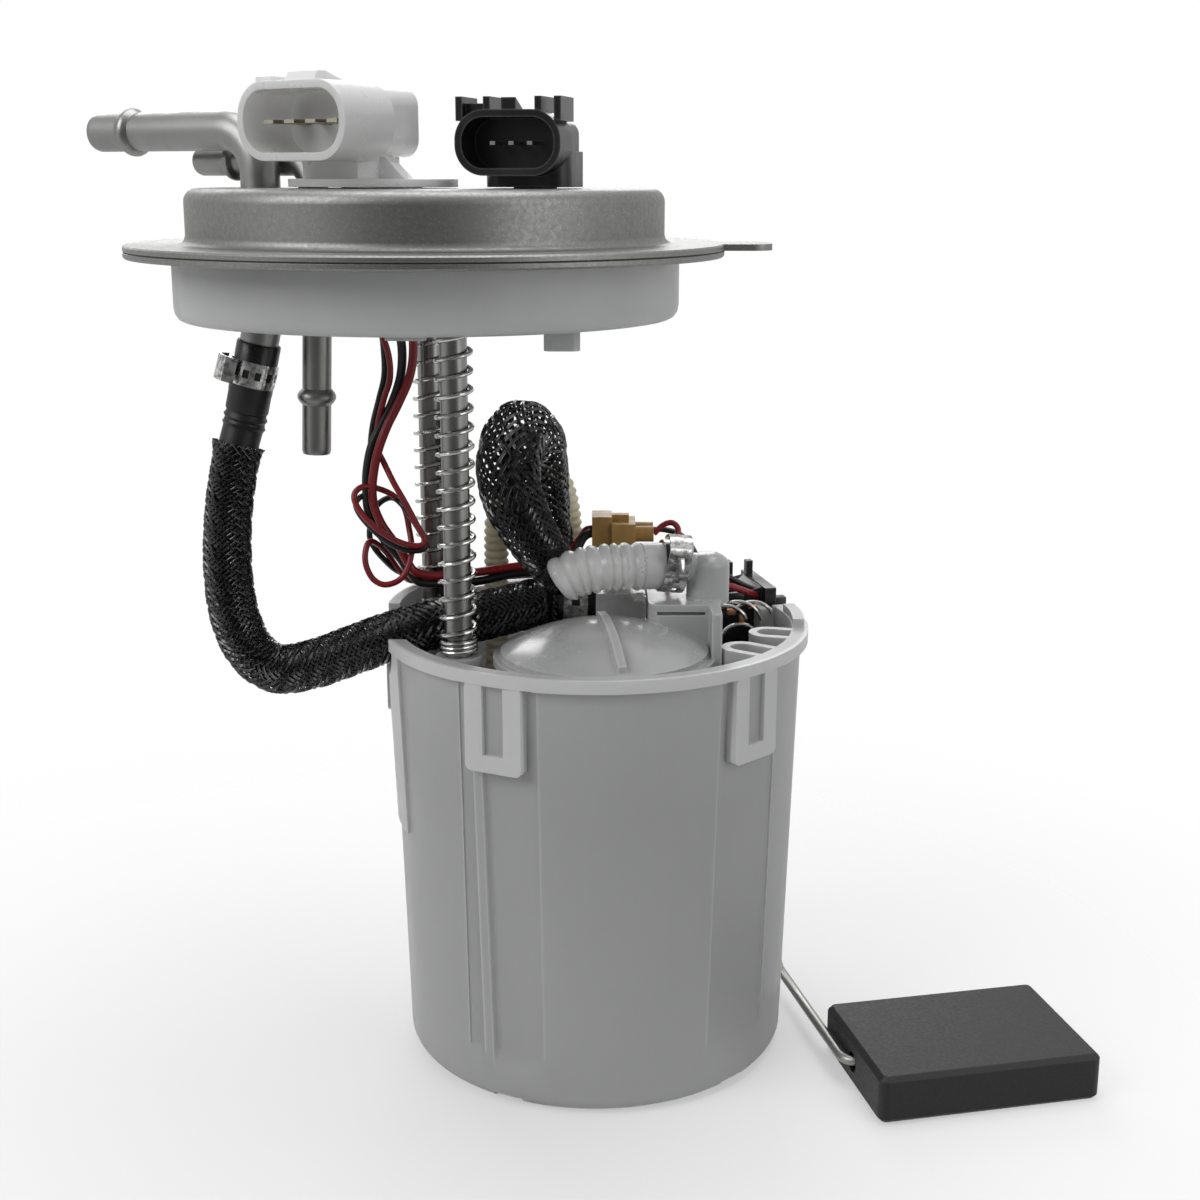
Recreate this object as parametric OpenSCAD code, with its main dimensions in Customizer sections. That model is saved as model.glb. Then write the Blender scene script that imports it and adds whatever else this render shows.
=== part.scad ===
// In-tank fuel pump module.
// The origin is the centre of the flange's sealing face, with +Z up and -Y towards the plug mouths.
// The reservoir hangs below the flange on two sprung guide rods, with its axis set off towards +X.

/* [Module] */
// Height from the flange's sealing face down to the reservoir's foot
module_h = 197; // [190:1:204]
// How far the reservoir stands off the flange axis
res_x = 39.5; // [39:0.5:40]
// How far the reservoir can be pushed up towards the flange
travel = 30; // [20:1:32]

/* [Cover plate] */
// Diameter of the steel flange
flange_d = 139; // [136:1:144]
// Thickness of the steel sheet
sheet_t = 1.5; // [1.2:0.1:1.8]
// Diameter of the raised dome
dome_d = 111; // [110:0.5:112]
// Height of the dome above the sealing face
dome_h = 15.4; // [14.5:0.1:17]
// Rounding of the dome's top edge
dome_edge = 3; // [2:0.5:5]
// Reach of the locating ear from the flange axis
ear_reach = 80.5; // [78:0.5:84]
// Width of the locating ear
ear_w = 18; // [12:1:24]

/* [Carrier] */
// Diameter of the nylon carrier that drops into the tank opening
carrier_d = 118; // [116:0.5:119]
// Depth of the carrier's skirt
carrier_h = 14; // [12:0.5:16]
// Wall of the carrier's skirt
carrier_wall = 2.4; // [2:0.1:3]
// Thickness of the carrier's web
web_t = 3; // [2.5:0.1:3.5]

/* [Guide rods and springs] */
// Diameter of the guide rods
rod_d = 6.4; // [6:0.1:6.6]
// Place of the front rod along X
front_rod_x = 7; // [6:0.5:8]
// Place of the front rod along Y
front_rod_y = -20; // [-21:0.5:-19]
// Place of the rear rod along X
rear_rod_x = -1.5; // [-2:0.5:-1]
// Place of the rear rod along Y
rear_rod_y = 14; // [13:0.5:15]
// How deep the rods reach below the spring seats
rod_reach = 54; // [50:1:58]
// Outer diameter of the springs
spring_od = 9.2; // [9:0.1:9.6]
// Wire of the springs
spring_wire = 1.1; // [0.8:0.1:1.2]
// Number of open turns of each spring
spring_turns = 21; // [16:1:22]
// Number of closed turns at the foot of each spring
closed_turns = 3; // [2:1:4]

/* [Reservoir] */
// Height of the reservoir
res_h = 108; // [104:1:112]
// Diameter of the reservoir at its lip
res_top_d = 101.2; // [100:0.2:102.4]
// Diameter of the reservoir at its foot
res_foot_d = 95.6; // [94:0.2:96.6]
// Wall of the reservoir
res_wall = 2.2; // [2:0.1:2.4]
// Height of the lip band
lip_h = 3; // [2:0.5:4]
// How far the lip band stands out
lip_out = 1.7; // [1:0.1:1.9]
// Number of upright flutes
flutes = 5; // [3:1:6]
// Width of a flute
flute_w = 20; // [16:1:24]
// Depth of a flute
flute_depth = 1.5; // [1:0.1:1.6]
// Width of a latch pocket
pocket_w = 14.4; // [12:0.2:17]
// Height of a latch pocket
pocket_h = 21; // [16:1:24]
// Width of the slot in a latch pocket
pocket_slot_w = 5.4; // [4:0.2:7]
// Rounding of the foot's edge
foot_edge = 4; // [2:0.5:5]
// Depth of the foot ring below the floor
foot_h = 2; // [1.5:0.5:3]

/* [Pump] */
// Diameter of the pump can
pump_d = 38; // [36:0.5:38]
// Length of the pump can
pump_h = 72; // [68:1:73]
// Wall of the pump can
can_wall = 1.2; // [1:0.1:1.4]
// Diameter of the pump's shaft
shaft_d = 3; // [2.5:0.1:3.4]
// Diameter of the armature
armature_d = 24; // [22:0.5:24]
// Diameter of the impeller
impeller_d = 30; // [28:0.5:33]
// Number of vanes on the impeller
vanes = 20; // [12:1:28]
// Diameter of the pump cap
cap_d = 49; // [48:0.5:50]
// Height of the cap's dome
cap_rise = 6.5; // [5:0.5:7]
// Wall of the cap
cap_wall = 2; // [1.6:0.1:2.4]

/* [Tubes and hoses] */
// Outer diameter of the outlet tube
outlet_d = 9.3; // [9:0.1:9.6]
// Outer diameter of the vapour tube
vapour_d = 7; // [6.6:0.1:7.4]
// Wall of the steel tubes
tube_wall = 1; // [0.8:0.1:1.2]
// How far a bead stands out of its tube
bead_out = 1.2; // [0.8:0.1:1.6]
// Outer diameter of the supply hose in its sleeve
hose_d = 12.6; // [12:0.1:13]
// Outer diameter of the loop hose in its sleeve
loop_d = 12.8; // [12:0.1:13]
// Outer diameter of the rubber under a hose clamp
cuff_d = 12.4; // [12:0.1:12.8]
// Outer diameter of the corrugated tube
corrugated_d = 11.6; // [11:0.1:12]
// Outer diameter of the feed hose of the jet pump
feed_d = 6.5; // [6:0.1:6.8]
// Width of a hose clamp's band
band_w = 6; // [5:0.5:7]
// Thickness of a hose clamp's band
band_t = 0.7; // [0.5:0.1:0.9]

/* [Connector and sensor] */
// Width of the connector's mouth
plug_w = 32.5; // [31:0.5:34]
// Height of the connector's mouth
plug_h = 17; // [16:0.5:17.5]
// Wall of the connector's hood
plug_wall = 1.8; // [1.4:0.1:2.2]
// Number of blades in the connector
blades = 4; // [2:1:4]
// Width of the pressure sensor's mouth
sensor_w = 24.4; // [23:0.2:26]
// Height of the pressure sensor's mouth
sensor_h = 14.2; // [13:0.2:15]
// Number of pins in the pressure sensor
pins = 3; // [2:1:3]

/* [Level sender] */
// Length of the float
float_l = 56; // [50:1:60]
// Width of the float
float_w = 39; // [34:1:42]
// Thickness of the float
float_t = 12; // [10:0.5:13]
// Wire of the float arm
arm_wire = 2.5; // [2.2:0.1:2.6]
// Direction that the sender faces, from +X towards +Y
sender_turn = 12; // [8:1:16]
// Height of the arm's pivot above the foot
pivot_h = 62; // [58:1:66]

/* [Fits] */
// Running clearance on radius, rod in guide and shaft in bearing
run_fit = 0.05; // [0.02:0.01:0.08]
// Gap between parts that seat on each other
seat_gap = 0.3; // [0.2:0.05:0.4]

/* [Hidden] */
$fn = 72;

// Levels down the module
foot_z = -module_h;
lip_z = foot_z + res_h;
floor_z = foot_z + foot_h + res_wall;
seat_z = lip_z - lip_h;
rod_end_z = seat_z - rod_reach;
guide_end_z = rod_end_z + 5;
pivot_z = foot_z + pivot_h;

// Radii that several parts share
flange_r = flange_d / 2;
dome_r = dome_d / 2;
rod_r = rod_d / 2;
guide_r = rod_r + 2.3;
top_r = res_top_d / 2;
foot_r = res_foot_d / 2;
pump_r = pump_d / 2;
cap_r = cap_d / 2;
outlet_r = outlet_d / 2;
vapour_r = vapour_d / 2;
cuff_r = cuff_d / 2;
feed_r = feed_d / 2;
spigot_r = 4.2;
nipple_r = 2.2;
taper = atan((top_r - foot_r) / res_h);

// Height of the lugs that rise from the lip
lug_h = 4.6;

// Flutes and latch pockets go round the reservoir from the front left
flute_turn = -26.6;
flute_step = 360 / flutes;

// Places of the tubes through the flange
outlet_at = [-39.5, 4, 0];
outlet_top_z = 28.5;
outlet_end = [-84.5, 33, outlet_top_z];
outlet_bend = 10;
outlet_knee_z = -12;
outlet_tilt = 13;
stub_l = 26;
vapour_at = [-27.5, 6, 0];
vapour_top_z = 21.6;
vapour_end = [-58, 26.6, vapour_top_z];
vapour_bend = 6;
vapour_foot_z = -48;
outlet_down = [-sin(outlet_tilt), 0, -cos(outlet_tilt)];
outlet_knee = [outlet_at.x, outlet_at.y, outlet_knee_z];
outlet_foot = outlet_knee + stub_l * outlet_down;
cuff_l = 17;

// Connector on the cover
plug_turn = -35;
plug_at = [-27.2, -24, 29.8];
plug_depth = 16;
plug_back = 12;
plug_neck_w = 17;
spigot_at = [-10.5, 0];
plug_spigot_r = 9.5;
plug_spigot_z = -6.5;
blade_pitch = 6.4;

// Pressure sensor on the cover
sensor_turn = -14;
sensor_at = [19.8, -20, 25.3];
sensor_depth = 11;
sensor_foot = [25.5, -6];
sensor_stem_r = 5;
grommet_wall = 1.6;
pin_pitch = 4.3;

// Pump, cap and the parts that stand on the cap
pump_at = [41.5, -21];
can_foot_z = floor_z + 16.6;
can_top_z = can_foot_z + pump_h;
cap_seat_z = lip_z - 4;
cap_top_z = lip_z - 1 + cap_rise;
shaft_r = shaft_d / 2;
bore_r = pump_r - can_wall;
outlet_nipple_x = 9;
port_z = lip_z + 5.4;
port_y = 6;
port_x = 30;
tower_x = 39.5;
tower_w = 12;
deck_z = lip_z + 8.5;
deck_x = 52;
deck_w = 17.5;
deck_front = -17;
deck_d = 26;
loop_y = -8;
loop_port = [60, loop_y, lip_z + 16.2];
loop_tilt = 5;
corrugated_l = 29;
ribs = 6;
rib_pitch = 3;
regulator_at = [29, 18.5];
regulator_r = 9.5;
plate_z = lip_z - 9;
plate_t = 4;
feed_at = [32.8, 28.6];
jet_at = [13.5, 26];
jet_end = [73, -14];
jet_z = floor_z + 6;
jet_r = 4;
plug_post = [45, 15];
seal_in_r = carrier_d / 2 + 0.5;
loop_r = 4.8;
loop_wall = 2;
spine_turn = 9.5;
cap_ribs_at = [216, 320];
valve_at = [-24, 8];
valve_stem_r = 2;
motor_plug_z = lip_z + 16;
check_travel = 1.5;

// Level sender, in the frame of its own flat
sender_flat = 46.3;
sender_y0 = 9;
sender_w = 22;
pivot_y = 20;
plate_out = sender_flat + seat_gap + 3;
arm_x = plate_out + 2.8;
hub_r = 6;
boss_r = 2.5;
hook_y = -45.8;
float_x = arm_x + arm_wire / 2 + 0.35;
float_z = foot_z + float_t / 2;
hook_l = 15;
arm_bend = 4;
knee_y = 8.2;

// Routes of the hoses and wires
supply_route = [[-46.2, 4, -41], [-47.6, 3, -50], [-48.4, 1, -62], [-48.2, -1, -74],
    [-46.2, -3, -85], [-42, -5, -94], [-35, -6, -99.4], [-27, -7.4, -100.6], [-19, -9, -97],
    [-10, -10, -91.4], [0, -9.4, -87.6], [10, -6, -86.2], [19, 0.6, -85], [24.4, 5, -84],
    [27.4, 6, -83.6]];
saddle_at = [-10, -10, -91.4];
saddle_along = [18, -0.8, 9.8];
loop_route = [[25, -8, -75.6], [20.6, -7, -70.4], [17.2, -5, -62], [15.6, -2, -53.6],
    [17.4, 3, -46.4], [20.6, 8, -44], [23.6, 12.6, -47.6], [25, 15.4, -56], [26.2, 17, -66],
    [28.4, 18.5, -76]];
feed_route = [[13.5, 26, -120], [13.5, 26, -78], [14.2, 26, -67], [18, 26, -57],
    [24, 27.4, -54], [29.6, 28.2, -58], [32.4, 28.6, -68]];
red_route = [[-5, 2, -12], [-5.6, 3, -26], [-9, 3, -40], [-14, 3, -52], [-19.6, 2, -60],
    [-19, 1, -67], [-12, 1, -69.6], [-5.4, 3, -68], [-3.6, 5, -73], [2, 5, -77.6],
    [10, 6.6, -77.4], [19, 9, -75.6], [26, 9.4, -73.4], [31.4, 10.6, -71], [34.8, 14.4, -69.6]];
black_route = [[-8.6, 2, -12], [-8.6, 5, -26], [-12, 6, -40], [-15.6, 7, -54], [-15, 7, -68],
    [-10.6, 6, -75], [-5, 6.4, -78], [2, 6, -80.6], [10, 7, -80.4], [19, 9, -78.8],
    [27, 9.8, -77], [33, 10.4, -74.2]];
thin_red_route = [[-14.4, 2, -12], [-14.6, 6, -28], [-15.4, 9, -46], [-13, 10, -62],
    [-11.6, 10.4, -74], [-9.4, 12.4, -81], [-8.4, 18.2, -82.9], [-3.6, 20.9, -83.4],
    [-0.6, 22.6, -84.8], [5, 26, -85.2],
    [13.5, 31.4, -85.2], [24, 33.6, -85], [34, 34.6, -84.6], [50, 35, -84.2], [62, 33.6, -84]];
thin_black_route = [[-11.6, 2, -12], [-11.6, 8, -28], [-13, 11.4, -46], [-10.4, 12.4, -62],
    [-9.4, 12.6, -74], [-7.6, 14.4, -79.6], [-6.2, 19, -81.2], [-1, 22.2, -82.2], [6, 26, -83.2],
    [14.5, 31.6, -83.2], [24, 33.4, -83], [34, 34.2, -82.6], [50, 34.4, -82.2], [62, 33, -82]];
sender_plug = [70.3, 32, -83];
thick_wire = 2.2;
thin_wire = 1.5;
lead_red_route = [[55.4, 12.4, -69.2], [56.6, 13.2, -67.6], [58.6, 13, -66.4], [60, 11.6, -68], [58, 9, -71.5]];
lead_black_route = [[57, 17.6, -69.6], [61, 17, -70.6], [64, 13, -73]];

// Places +Z along a direction
module along(p, d) {
    translate(p)
        rotate([0, acos(d.z / norm(d)), atan2(d.y, d.x)])
            children();
}

// Rounded rectangle about its own centre
module rounded(w, h, r) {
    square([w - 2 * r, h], center = true);
    square([w, h - 2 * r], center = true);
    for (x = [-1, 1], y = [-1, 1])
        translate([x * (w / 2 - r), y * (h / 2 - r)])
            circle(r);
}

// Round bar along straight legs, with a faceted bend at each corner
module bent_bar(pts, r, bend, sides = 16, steps = 5) {
    last = len(pts) - 1;
    dirs = [for (i = [0:last - 1]) (pts[i + 1] - pts[i]) / norm(pts[i + 1] - pts[i])];
    cut = [for (i = [0:last]) i == 0 || i == last ? 0 : bend * tan(acos(dirs[i - 1] * dirs[i]) / 2)];
    for (i = [0:last - 1])
        along(pts[i] + dirs[i] * cut[i], dirs[i])
            cylinder(r = r, h = norm(pts[i + 1] - pts[i]) - cut[i] - cut[i + 1]);
    for (i = [1:last - 1])
        bar_bend(pts[i], dirs[i - 1], dirs[i], r - 0.03, bend, sides, steps);
}

// One bend between two directions, let a little way into both legs
module bar_bend(corner, d1, d2, r, bend, sides, steps) {
    turn = acos(d1 * d2);
    n = cross(d1, d2) / norm(cross(d1, d2));
    m = cross(n, d1);
    c = corner - d1 * bend * tan(turn / 2) + m * bend;
    arc = [for (i = [0:steps]) let (a = turn * i / steps) c - m * bend * cos(a) + d1 * bend * sin(a)];
    route = concat([arc[0] - d1], arc, [arc[steps] + d2]);
    swept(route, r, sides, n);
}

// Points of one ring of a swept tube
function ring(p, d, side, r, n) =
    let (u = cross(d, side) / norm(cross(d, side)), v = cross(u, d) / norm(cross(u, d)))
    [for (k = [0.3:n - 0.5]) p + r * cos(360 * k / n) * u + r * sin(360 * k / n) * v];

// Faces of a tube of m rings with n sides
function tube_faces(m, n) = concat(
    [[for (k = [n - 1:-1:0]) k]],
    [for (i = [0:m - 2], k = [0:n - 1])
        [i * n + k, i * n + (k + 1) % n, (i + 1) * n + (k + 1) % n, (i + 1) * n + k]],
    [[for (k = [0:n - 1]) (m - 1) * n + k]]);

// Soft tube swept through a route's own points
module swept(route, r, n = 8, side = [0, 1, 0]) {
    last = len(route) - 1;
    pts = [for (i = [0:last])
        each ring(route[i], route[min(i + 1, last)] - route[max(i - 1, 0)], side, r, n)];
    polyhedron(points = pts, faces = tube_faces(last + 1, n), convexity = 8);
}

// Coil spring from z0 up to z1, with closed turns at its foot
module coil(z0, z1, r, wire, turns, closed, steps = 12, sides = 5) {
    lay = wire * 1.08;
    rise = (z1 - z0 - wire - closed * lay) / turns;
    total = (turns + closed) * steps;
    pts = [for (i = [0:total])
        let (t = i / steps, a = 360 * t,
            z = z0 + wire / 2 + (t < closed ? t * lay : closed * lay + (t - closed) * rise),
            out = [cos(a), sin(a), 0])
        for (k = [0:sides - 1])
            let (b = 360 * k / sides)
                [0, 0, z + wire / 2 * sin(b)] + out * (r + wire / 2 * cos(b))];
    polyhedron(points = pts, faces = tube_faces(total + 1, sides), convexity = 20);
}

// Ear clamp: a band with a raised ear
module band_clamp(r) {
    difference() {
        union() {
            cylinder(r = r + band_t, h = band_w);
            translate([r - 0.2, -2.6, 0])
                cube([3.2, 5.2, band_w]);
        }
        translate([0, 0, -1])
            cylinder(r = r, h = band_w + 2);
        translate([r + band_t, -1.8, -1])
            cube([1.4, 3.6, band_w + 2]);
    }
}

// Stamped steel cover with a hemmed rim and one locating ear
module cover_plate() {
    lap = 2 * sheet_t;
    arc = [for (a = [0:15:90])
        [dome_r - dome_edge + dome_edge * sin(a), dome_h - dome_edge + dome_edge * cos(a)]];
    inner_edge = dome_edge - sheet_t;
    inner = [for (a = [90:-15:0])
        [dome_r - dome_edge + inner_edge * sin(a), dome_h - dome_edge + inner_edge * cos(a)]];
    root = [for (a = [0:30:90]) [dome_r + 2 - 2 * cos(a), lap + 2 - 2 * sin(a)]];
    hem = [[flange_r - 0.4, lap], [flange_r, lap - 0.4], [flange_r, sheet_t + 0.2], [flange_r - 0.4, sheet_t],
        [flange_r, sheet_t - 0.2], [flange_r, 0.4], [flange_r - 0.4, 0]];
    color("silver")
    difference() {
        union() {
            rotate_extrude($fn = 180)
                polygon(concat([[0, dome_h]], arc, root, hem, [[seal_in_r, 0],
                    [seal_in_r, 0.1], [dome_r - sheet_t, 0.1]], inner,
                    [[0, dome_h - sheet_t]]));
            translate([0, 0, sheet_t])
                linear_extrude(sheet_t)
                    difference() {
                        translate([(ear_reach + flange_r - 8) / 2, 0])
                            rounded(ear_reach - flange_r + 8, ear_w, 5);
                        circle(flange_r - 4);
                    }
        }
        translate([outlet_at.x, outlet_at.y, 0])
            cylinder(r = outlet_r + run_fit, h = dome_h + 1);
        translate([vapour_at.x, vapour_at.y, 0])
            cylinder(r = vapour_r + run_fit, h = dome_h + 1);
        translate([spigot_at.x, spigot_at.y, 0])
            cylinder(r = plug_spigot_r + seat_gap, h = dome_h + 1);
        translate([sensor_foot.x, sensor_foot.y, 0])
            cylinder(r = sensor_stem_r + grommet_wall + run_fit, h = dome_h + 1);
    }
}

// Nylon carrier: web, skirt, rod sockets and hanging tabs
module carrier() {
    r = carrier_d / 2;
    ring_r = dome_r - sheet_t - seat_gap;
    ring_top = dome_h - sheet_t - seat_gap;
    skirt = [[r - carrier_wall, -web_t], [r, -web_t], [r, 3 - carrier_h], [r - 0.3, 1.4 - carrier_h],
        [r - 1, 0.4 - carrier_h], [r - 1.8, -carrier_h], [r - carrier_wall, -carrier_h]];
    color("whitesmoke")
    difference() {
        union() {
            translate([0, 0, -web_t])
                cylinder(r = r, h = web_t, $fn = 180);
            rotate_extrude($fn = 180)
                polygon(skirt);
            rotate_extrude($fn = 120)
                polygon([[ring_r - 2, -1], [ring_r, -1], [ring_r, ring_top - 0.8],
                    [ring_r - 0.8, ring_top], [ring_r - 2, ring_top]]);
            for (p = [[front_rod_x, front_rod_y], [rear_rod_x, rear_rod_y]])
                translate([p.x, p.y, -web_t - 3])
                    cylinder(r = guide_r + 0.6, h = web_t + 3 + ring_top);
            translate([32, -32.5, -19])
                linear_extrude(19 - web_t / 2)
                    rounded(8, 5, 2);
            translate([-2.5, -30, -17])
                linear_extrude(17 - web_t / 2)
                    rounded(9, 5, 1.5);
            for (a = [20:40:340])
                rotate([0, 0, a])
                    translate([ring_r - 16, -0.8, -1])
                        cube([15, 1.6, ring_top]);
        }
        for (p = [[front_rod_x, front_rod_y], [rear_rod_x, rear_rod_y]])
            translate([p.x, p.y, -web_t - 4])
                cylinder(r = rod_r + run_fit, h = web_t + ring_top);
        translate([outlet_at.x, outlet_at.y, -web_t - 1])
            cylinder(r = outlet_r + seat_gap, h = web_t + dome_h);
        translate([vapour_at.x, vapour_at.y, -web_t - 1])
            cylinder(r = vapour_r + seat_gap, h = web_t + dome_h);
        translate([spigot_at.x, spigot_at.y, -web_t - 1])
            cylinder(r = plug_spigot_r + seat_gap, h = web_t + ring_top);
        translate([sensor_foot.x, sensor_foot.y, -web_t - 1])
            cylinder(r = sensor_stem_r + seat_gap, h = web_t + 3);
    }
}

// Ring bead on a tube that runs along +Z
module bead(r) {
    rotate_extrude()
        polygon([[r - 0.4, -1.5], [r + 0.1, -1.5], [r + bead_out, -0.5], [r + bead_out, 0.5], [r + 0.1, 1.5],
            [r - 0.4, 1.5]]);
}

// Fuel outlet: a steel tube from the hose, through the cover and off to the left rear
module outlet_tube() {
    pts = [outlet_foot, outlet_knee, [outlet_at.x, outlet_at.y, outlet_top_z], outlet_end];
    away = (outlet_end - pts[2]) / norm(outlet_end - pts[2]);
    color("darkgray")
    difference() {
        union() {
            bent_bar(pts, outlet_r, outlet_bend);
            along(outlet_end - away * 12.5, away)
                bead(outlet_r);
        }
        along(outlet_foot + outlet_down, -outlet_down)
            cylinder(r = outlet_r - tube_wall, h = stub_l - 4);
        along(outlet_end + away, -away)
            cylinder(r = outlet_r - tube_wall, h = norm(outlet_end - pts[2]) - outlet_bend - 2);
    }
}

// Vapour tube beside the outlet, with its own bead and a straight stub below
module vapour_tube() {
    foot = [vapour_at.x - 1.6, vapour_at.y, vapour_foot_z];
    knee = [vapour_at.x, vapour_at.y, -10];
    pts = [foot, knee, [vapour_at.x, vapour_at.y, vapour_top_z], vapour_end];
    away = (vapour_end - pts[2]) / norm(vapour_end - pts[2]);
    down = (foot - knee) / norm(foot - knee);
    color("darkgray")
    difference() {
        union() {
            bent_bar(pts, vapour_r, vapour_bend);
            along(vapour_end - away * 12, away)
                bead(vapour_r);
            along(foot - down * 14, down)
                bead(vapour_r);
        }
        along(foot + down, -down)
            cylinder(r = vapour_r - tube_wall, h = norm(foot - knee) - 4);
        along(vapour_end + away, -away)
            cylinder(r = vapour_r - tube_wall, h = norm(vapour_end - pts[2]) - vapour_bend - 2);
    }
}

// Four-blade connector: hood, body, latch ramp, neck and base disc
module connector_shell() {
    color("white")
    difference() {
        union() {
            translate(plug_at)
                rotate([0, 0, plug_turn]) {
                    rotate([-90, 0, 0])
                        linear_extrude(plug_depth)
                            rounded(plug_w, plug_h, plug_h / 2 - 0.5);
                    translate([0, plug_depth - 1, 0])
                        rotate([-90, 0, 0])
                            linear_extrude(plug_back + 1)
                                rounded(plug_w - 7, plug_h - 2, 4);
                    translate([-3, 1, plug_h / 2 - 1])
                        rotate([90, 0, 90])
                            linear_extrude(9)
                                polygon([[0, 0], [2, 3], [4.5, 3], [13, 0]]);
                    translate([-12, 2, plug_h / 2 - 1.5])
                        cube([5, 8, 2.6]);
                    translate([-plug_neck_w / 2, plug_depth - 4, dome_h + 1 - plug_at.z])
                        cube([plug_neck_w, plug_back + 2, plug_at.z - dome_h - 4]);
                    translate([plug_neck_w / 2 - 1, plug_depth + 6, dome_h + 1 - plug_at.z])
                        rotate([90, 0, 0])
                            linear_extrude(3)
                                polygon([[0, 0], [10, 0], [0, 8]]);
                }
            translate([-12, -3, dome_h + seat_gap])
                cylinder(r = 19.5, h = 1.8);
            translate([spigot_at.x, spigot_at.y, plug_spigot_z])
                cylinder(r = plug_spigot_r, h = dome_h + 1.5 - plug_spigot_z);
        }
        translate(plug_at)
            rotate([0, 0, plug_turn])
                translate([0, -1, 0])
                    rotate([-90, 0, 0])
                        linear_extrude(plug_depth)
                            rounded(plug_w - 2 * plug_wall, plug_h - 2 * plug_wall,
                                plug_h / 2 - plug_wall - 0.5);
        blade_set(seat_gap / 10);
        translate([vapour_at.x, vapour_at.y, 0])
            cylinder(r = vapour_r + seat_gap, h = dome_h + 10);
    }
}

// The blades' own outlines, grown by a clearance for their slots
module blade_set(grow) {
    translate(plug_at)
        rotate([0, 0, plug_turn])
            for (i = [0:blades - 1])
                translate([(i - (blades - 1) / 2) * blade_pitch - 1.5 - grow, 3, -0.4 - grow])
                    cube([3 + 2 * grow, plug_depth + 4, 0.8 + 2 * grow]);
}

// Flat contact blades in the connector
module connector_blades() {
    color("goldenrod")
        blade_set(0);
}

// Pressure sensor: hood, ribbed latch, body and stem
module pressure_sensor() {
    color([0.1, 0.1, 0.11])
    difference() {
        union() {
            translate(sensor_at)
                rotate([0, 0, sensor_turn]) {
                    rotate([-90, 0, 0])
                        linear_extrude(sensor_depth)
                            rounded(sensor_w, sensor_h, sensor_h / 2 - 0.5);
                    translate([0, sensor_depth - 1, -1])
                        rotate([-90, 0, 0])
                            linear_extrude(12)
                                rounded(sensor_w - 3, sensor_h - 2, 3);
                    for (x = [-12, -5.6, 6.2, 10.6])
                        translate([x, 0.5, sensor_h / 2 - 2.4])
                            cube([1.6, 11, 5.2]);
                    translate([-11.5, 3, sensor_h / 2 - 1])
                        cube([7, 7, 2.4]);
                    translate([-1.6, 1, sensor_h / 2 - 1])
                        rotate([90, 0, 90])
                            linear_extrude(3.4)
                                polygon([[0, 0], [0, 3.6], [7, 0.6], [9, 0]]);
                }
            translate([sensor_foot.x, sensor_foot.y, dome_h + seat_gap])
                linear_extrude(sensor_at.z - dome_h - 2)
                    rotate([0, 0, sensor_turn])
                        rounded(20, 17, 4);
            translate([sensor_foot.x, sensor_foot.y, -web_t - 2])
                cylinder(r = sensor_stem_r, h = dome_h + web_t + 4);
        }
        translate(sensor_at)
            rotate([0, 0, sensor_turn])
                translate([0, -1, 0])
                    rotate([-90, 0, 0])
                        linear_extrude(sensor_depth)
                            rounded(sensor_w - 3.2, sensor_h - 3.2, sensor_h / 2 - 2.1);
        pin_set(seat_gap / 10);
        translate([sensor_foot.x, sensor_foot.y, -web_t - 3])
            cylinder(r = 1.5, h = dome_h + web_t);
    }
}

// The pins' own outlines, grown by a clearance for their holes
module pin_set(grow) {
    translate(sensor_at)
        rotate([0, 0, sensor_turn])
            for (i = [0:pins - 1])
                translate([(i - (pins - 1) / 2) * pin_pitch - 0.6 - grow, 3, -0.4 - grow])
                    cube([1.2 + 2 * grow, sensor_depth, 0.8 + 2 * grow]);
}

// Contact pins in the pressure sensor
module sensor_pins() {
    color("silver")
        pin_set(0);
}

// Rubber grommet round the sensor's stem
module sensor_grommet() {
    r = sensor_stem_r + run_fit;
    color([0.12, 0.12, 0.12])
    translate([sensor_foot.x, sensor_foot.y, 0])
        rotate_extrude()
            polygon([[r, 2.4], [r + grommet_wall, 2.4], [r + grommet_wall, dome_h], [r + 0.4, dome_h],
                [r, dome_h - 0.4]]);
}

// One guide rod, from its socket in the carrier to below the reservoir's guide
module guide_rod(x, y) {
    top_z = dome_h - sheet_t - seat_gap - 4.4;
    color("silver")
    translate([x, y, rod_end_z])
        difference() {
            rotate_extrude()
                polygon([[0, 0], [rod_r - 0.6, 0], [rod_r, 0.6], [rod_r, top_z - rod_end_z],
                    [0, top_z - rod_end_z]]);
            translate([0, 0, 3.4 - seat_gap / 10])
                rotate_extrude()
                    translate([rod_r - 0.8, 0])
                        square([2, 1 + seat_gap / 5]);
        }
}

// Front guide rod
module front_rod() {
    guide_rod(front_rod_x, front_rod_y);
}

// Rear guide rod
module rear_rod() {
    guide_rod(rear_rod_x, rear_rod_y);
}

// Clips that stop the rods from leaving their guides
module rod_clips() {
    color("dimgray")
    for (p = [[front_rod_x, front_rod_y], [rear_rod_x, rear_rod_y]])
        translate([p.x, p.y, rod_end_z + 3.4])
            rotate([0, 0, atan2(p.y, p.x - res_x)])
                difference() {
                    cylinder(r = rod_r + 1.6, h = 1);
                    translate([0, 0, -1])
                        cylinder(r = rod_r - 0.8 + run_fit, h = 3);
                    translate([1.1, -5, -1])
                        cube([5, 10, 3]);
                }
}

// Coil spring round one rod, between the carrier and the reservoir's guide
module rod_spring(x, y) {
    color("gray")
    translate([x, y, 0])
        coil(seat_z + run_fit, -web_t - 3 - run_fit, (spring_od - spring_wire) / 2, spring_wire,
            spring_turns, closed_turns);
}

// Front spring
module front_spring() {
    rod_spring(front_rod_x, front_rod_y);
}

// Rear spring
module rear_spring() {
    rod_spring(rear_rod_x, rear_rod_y);
}

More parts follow.
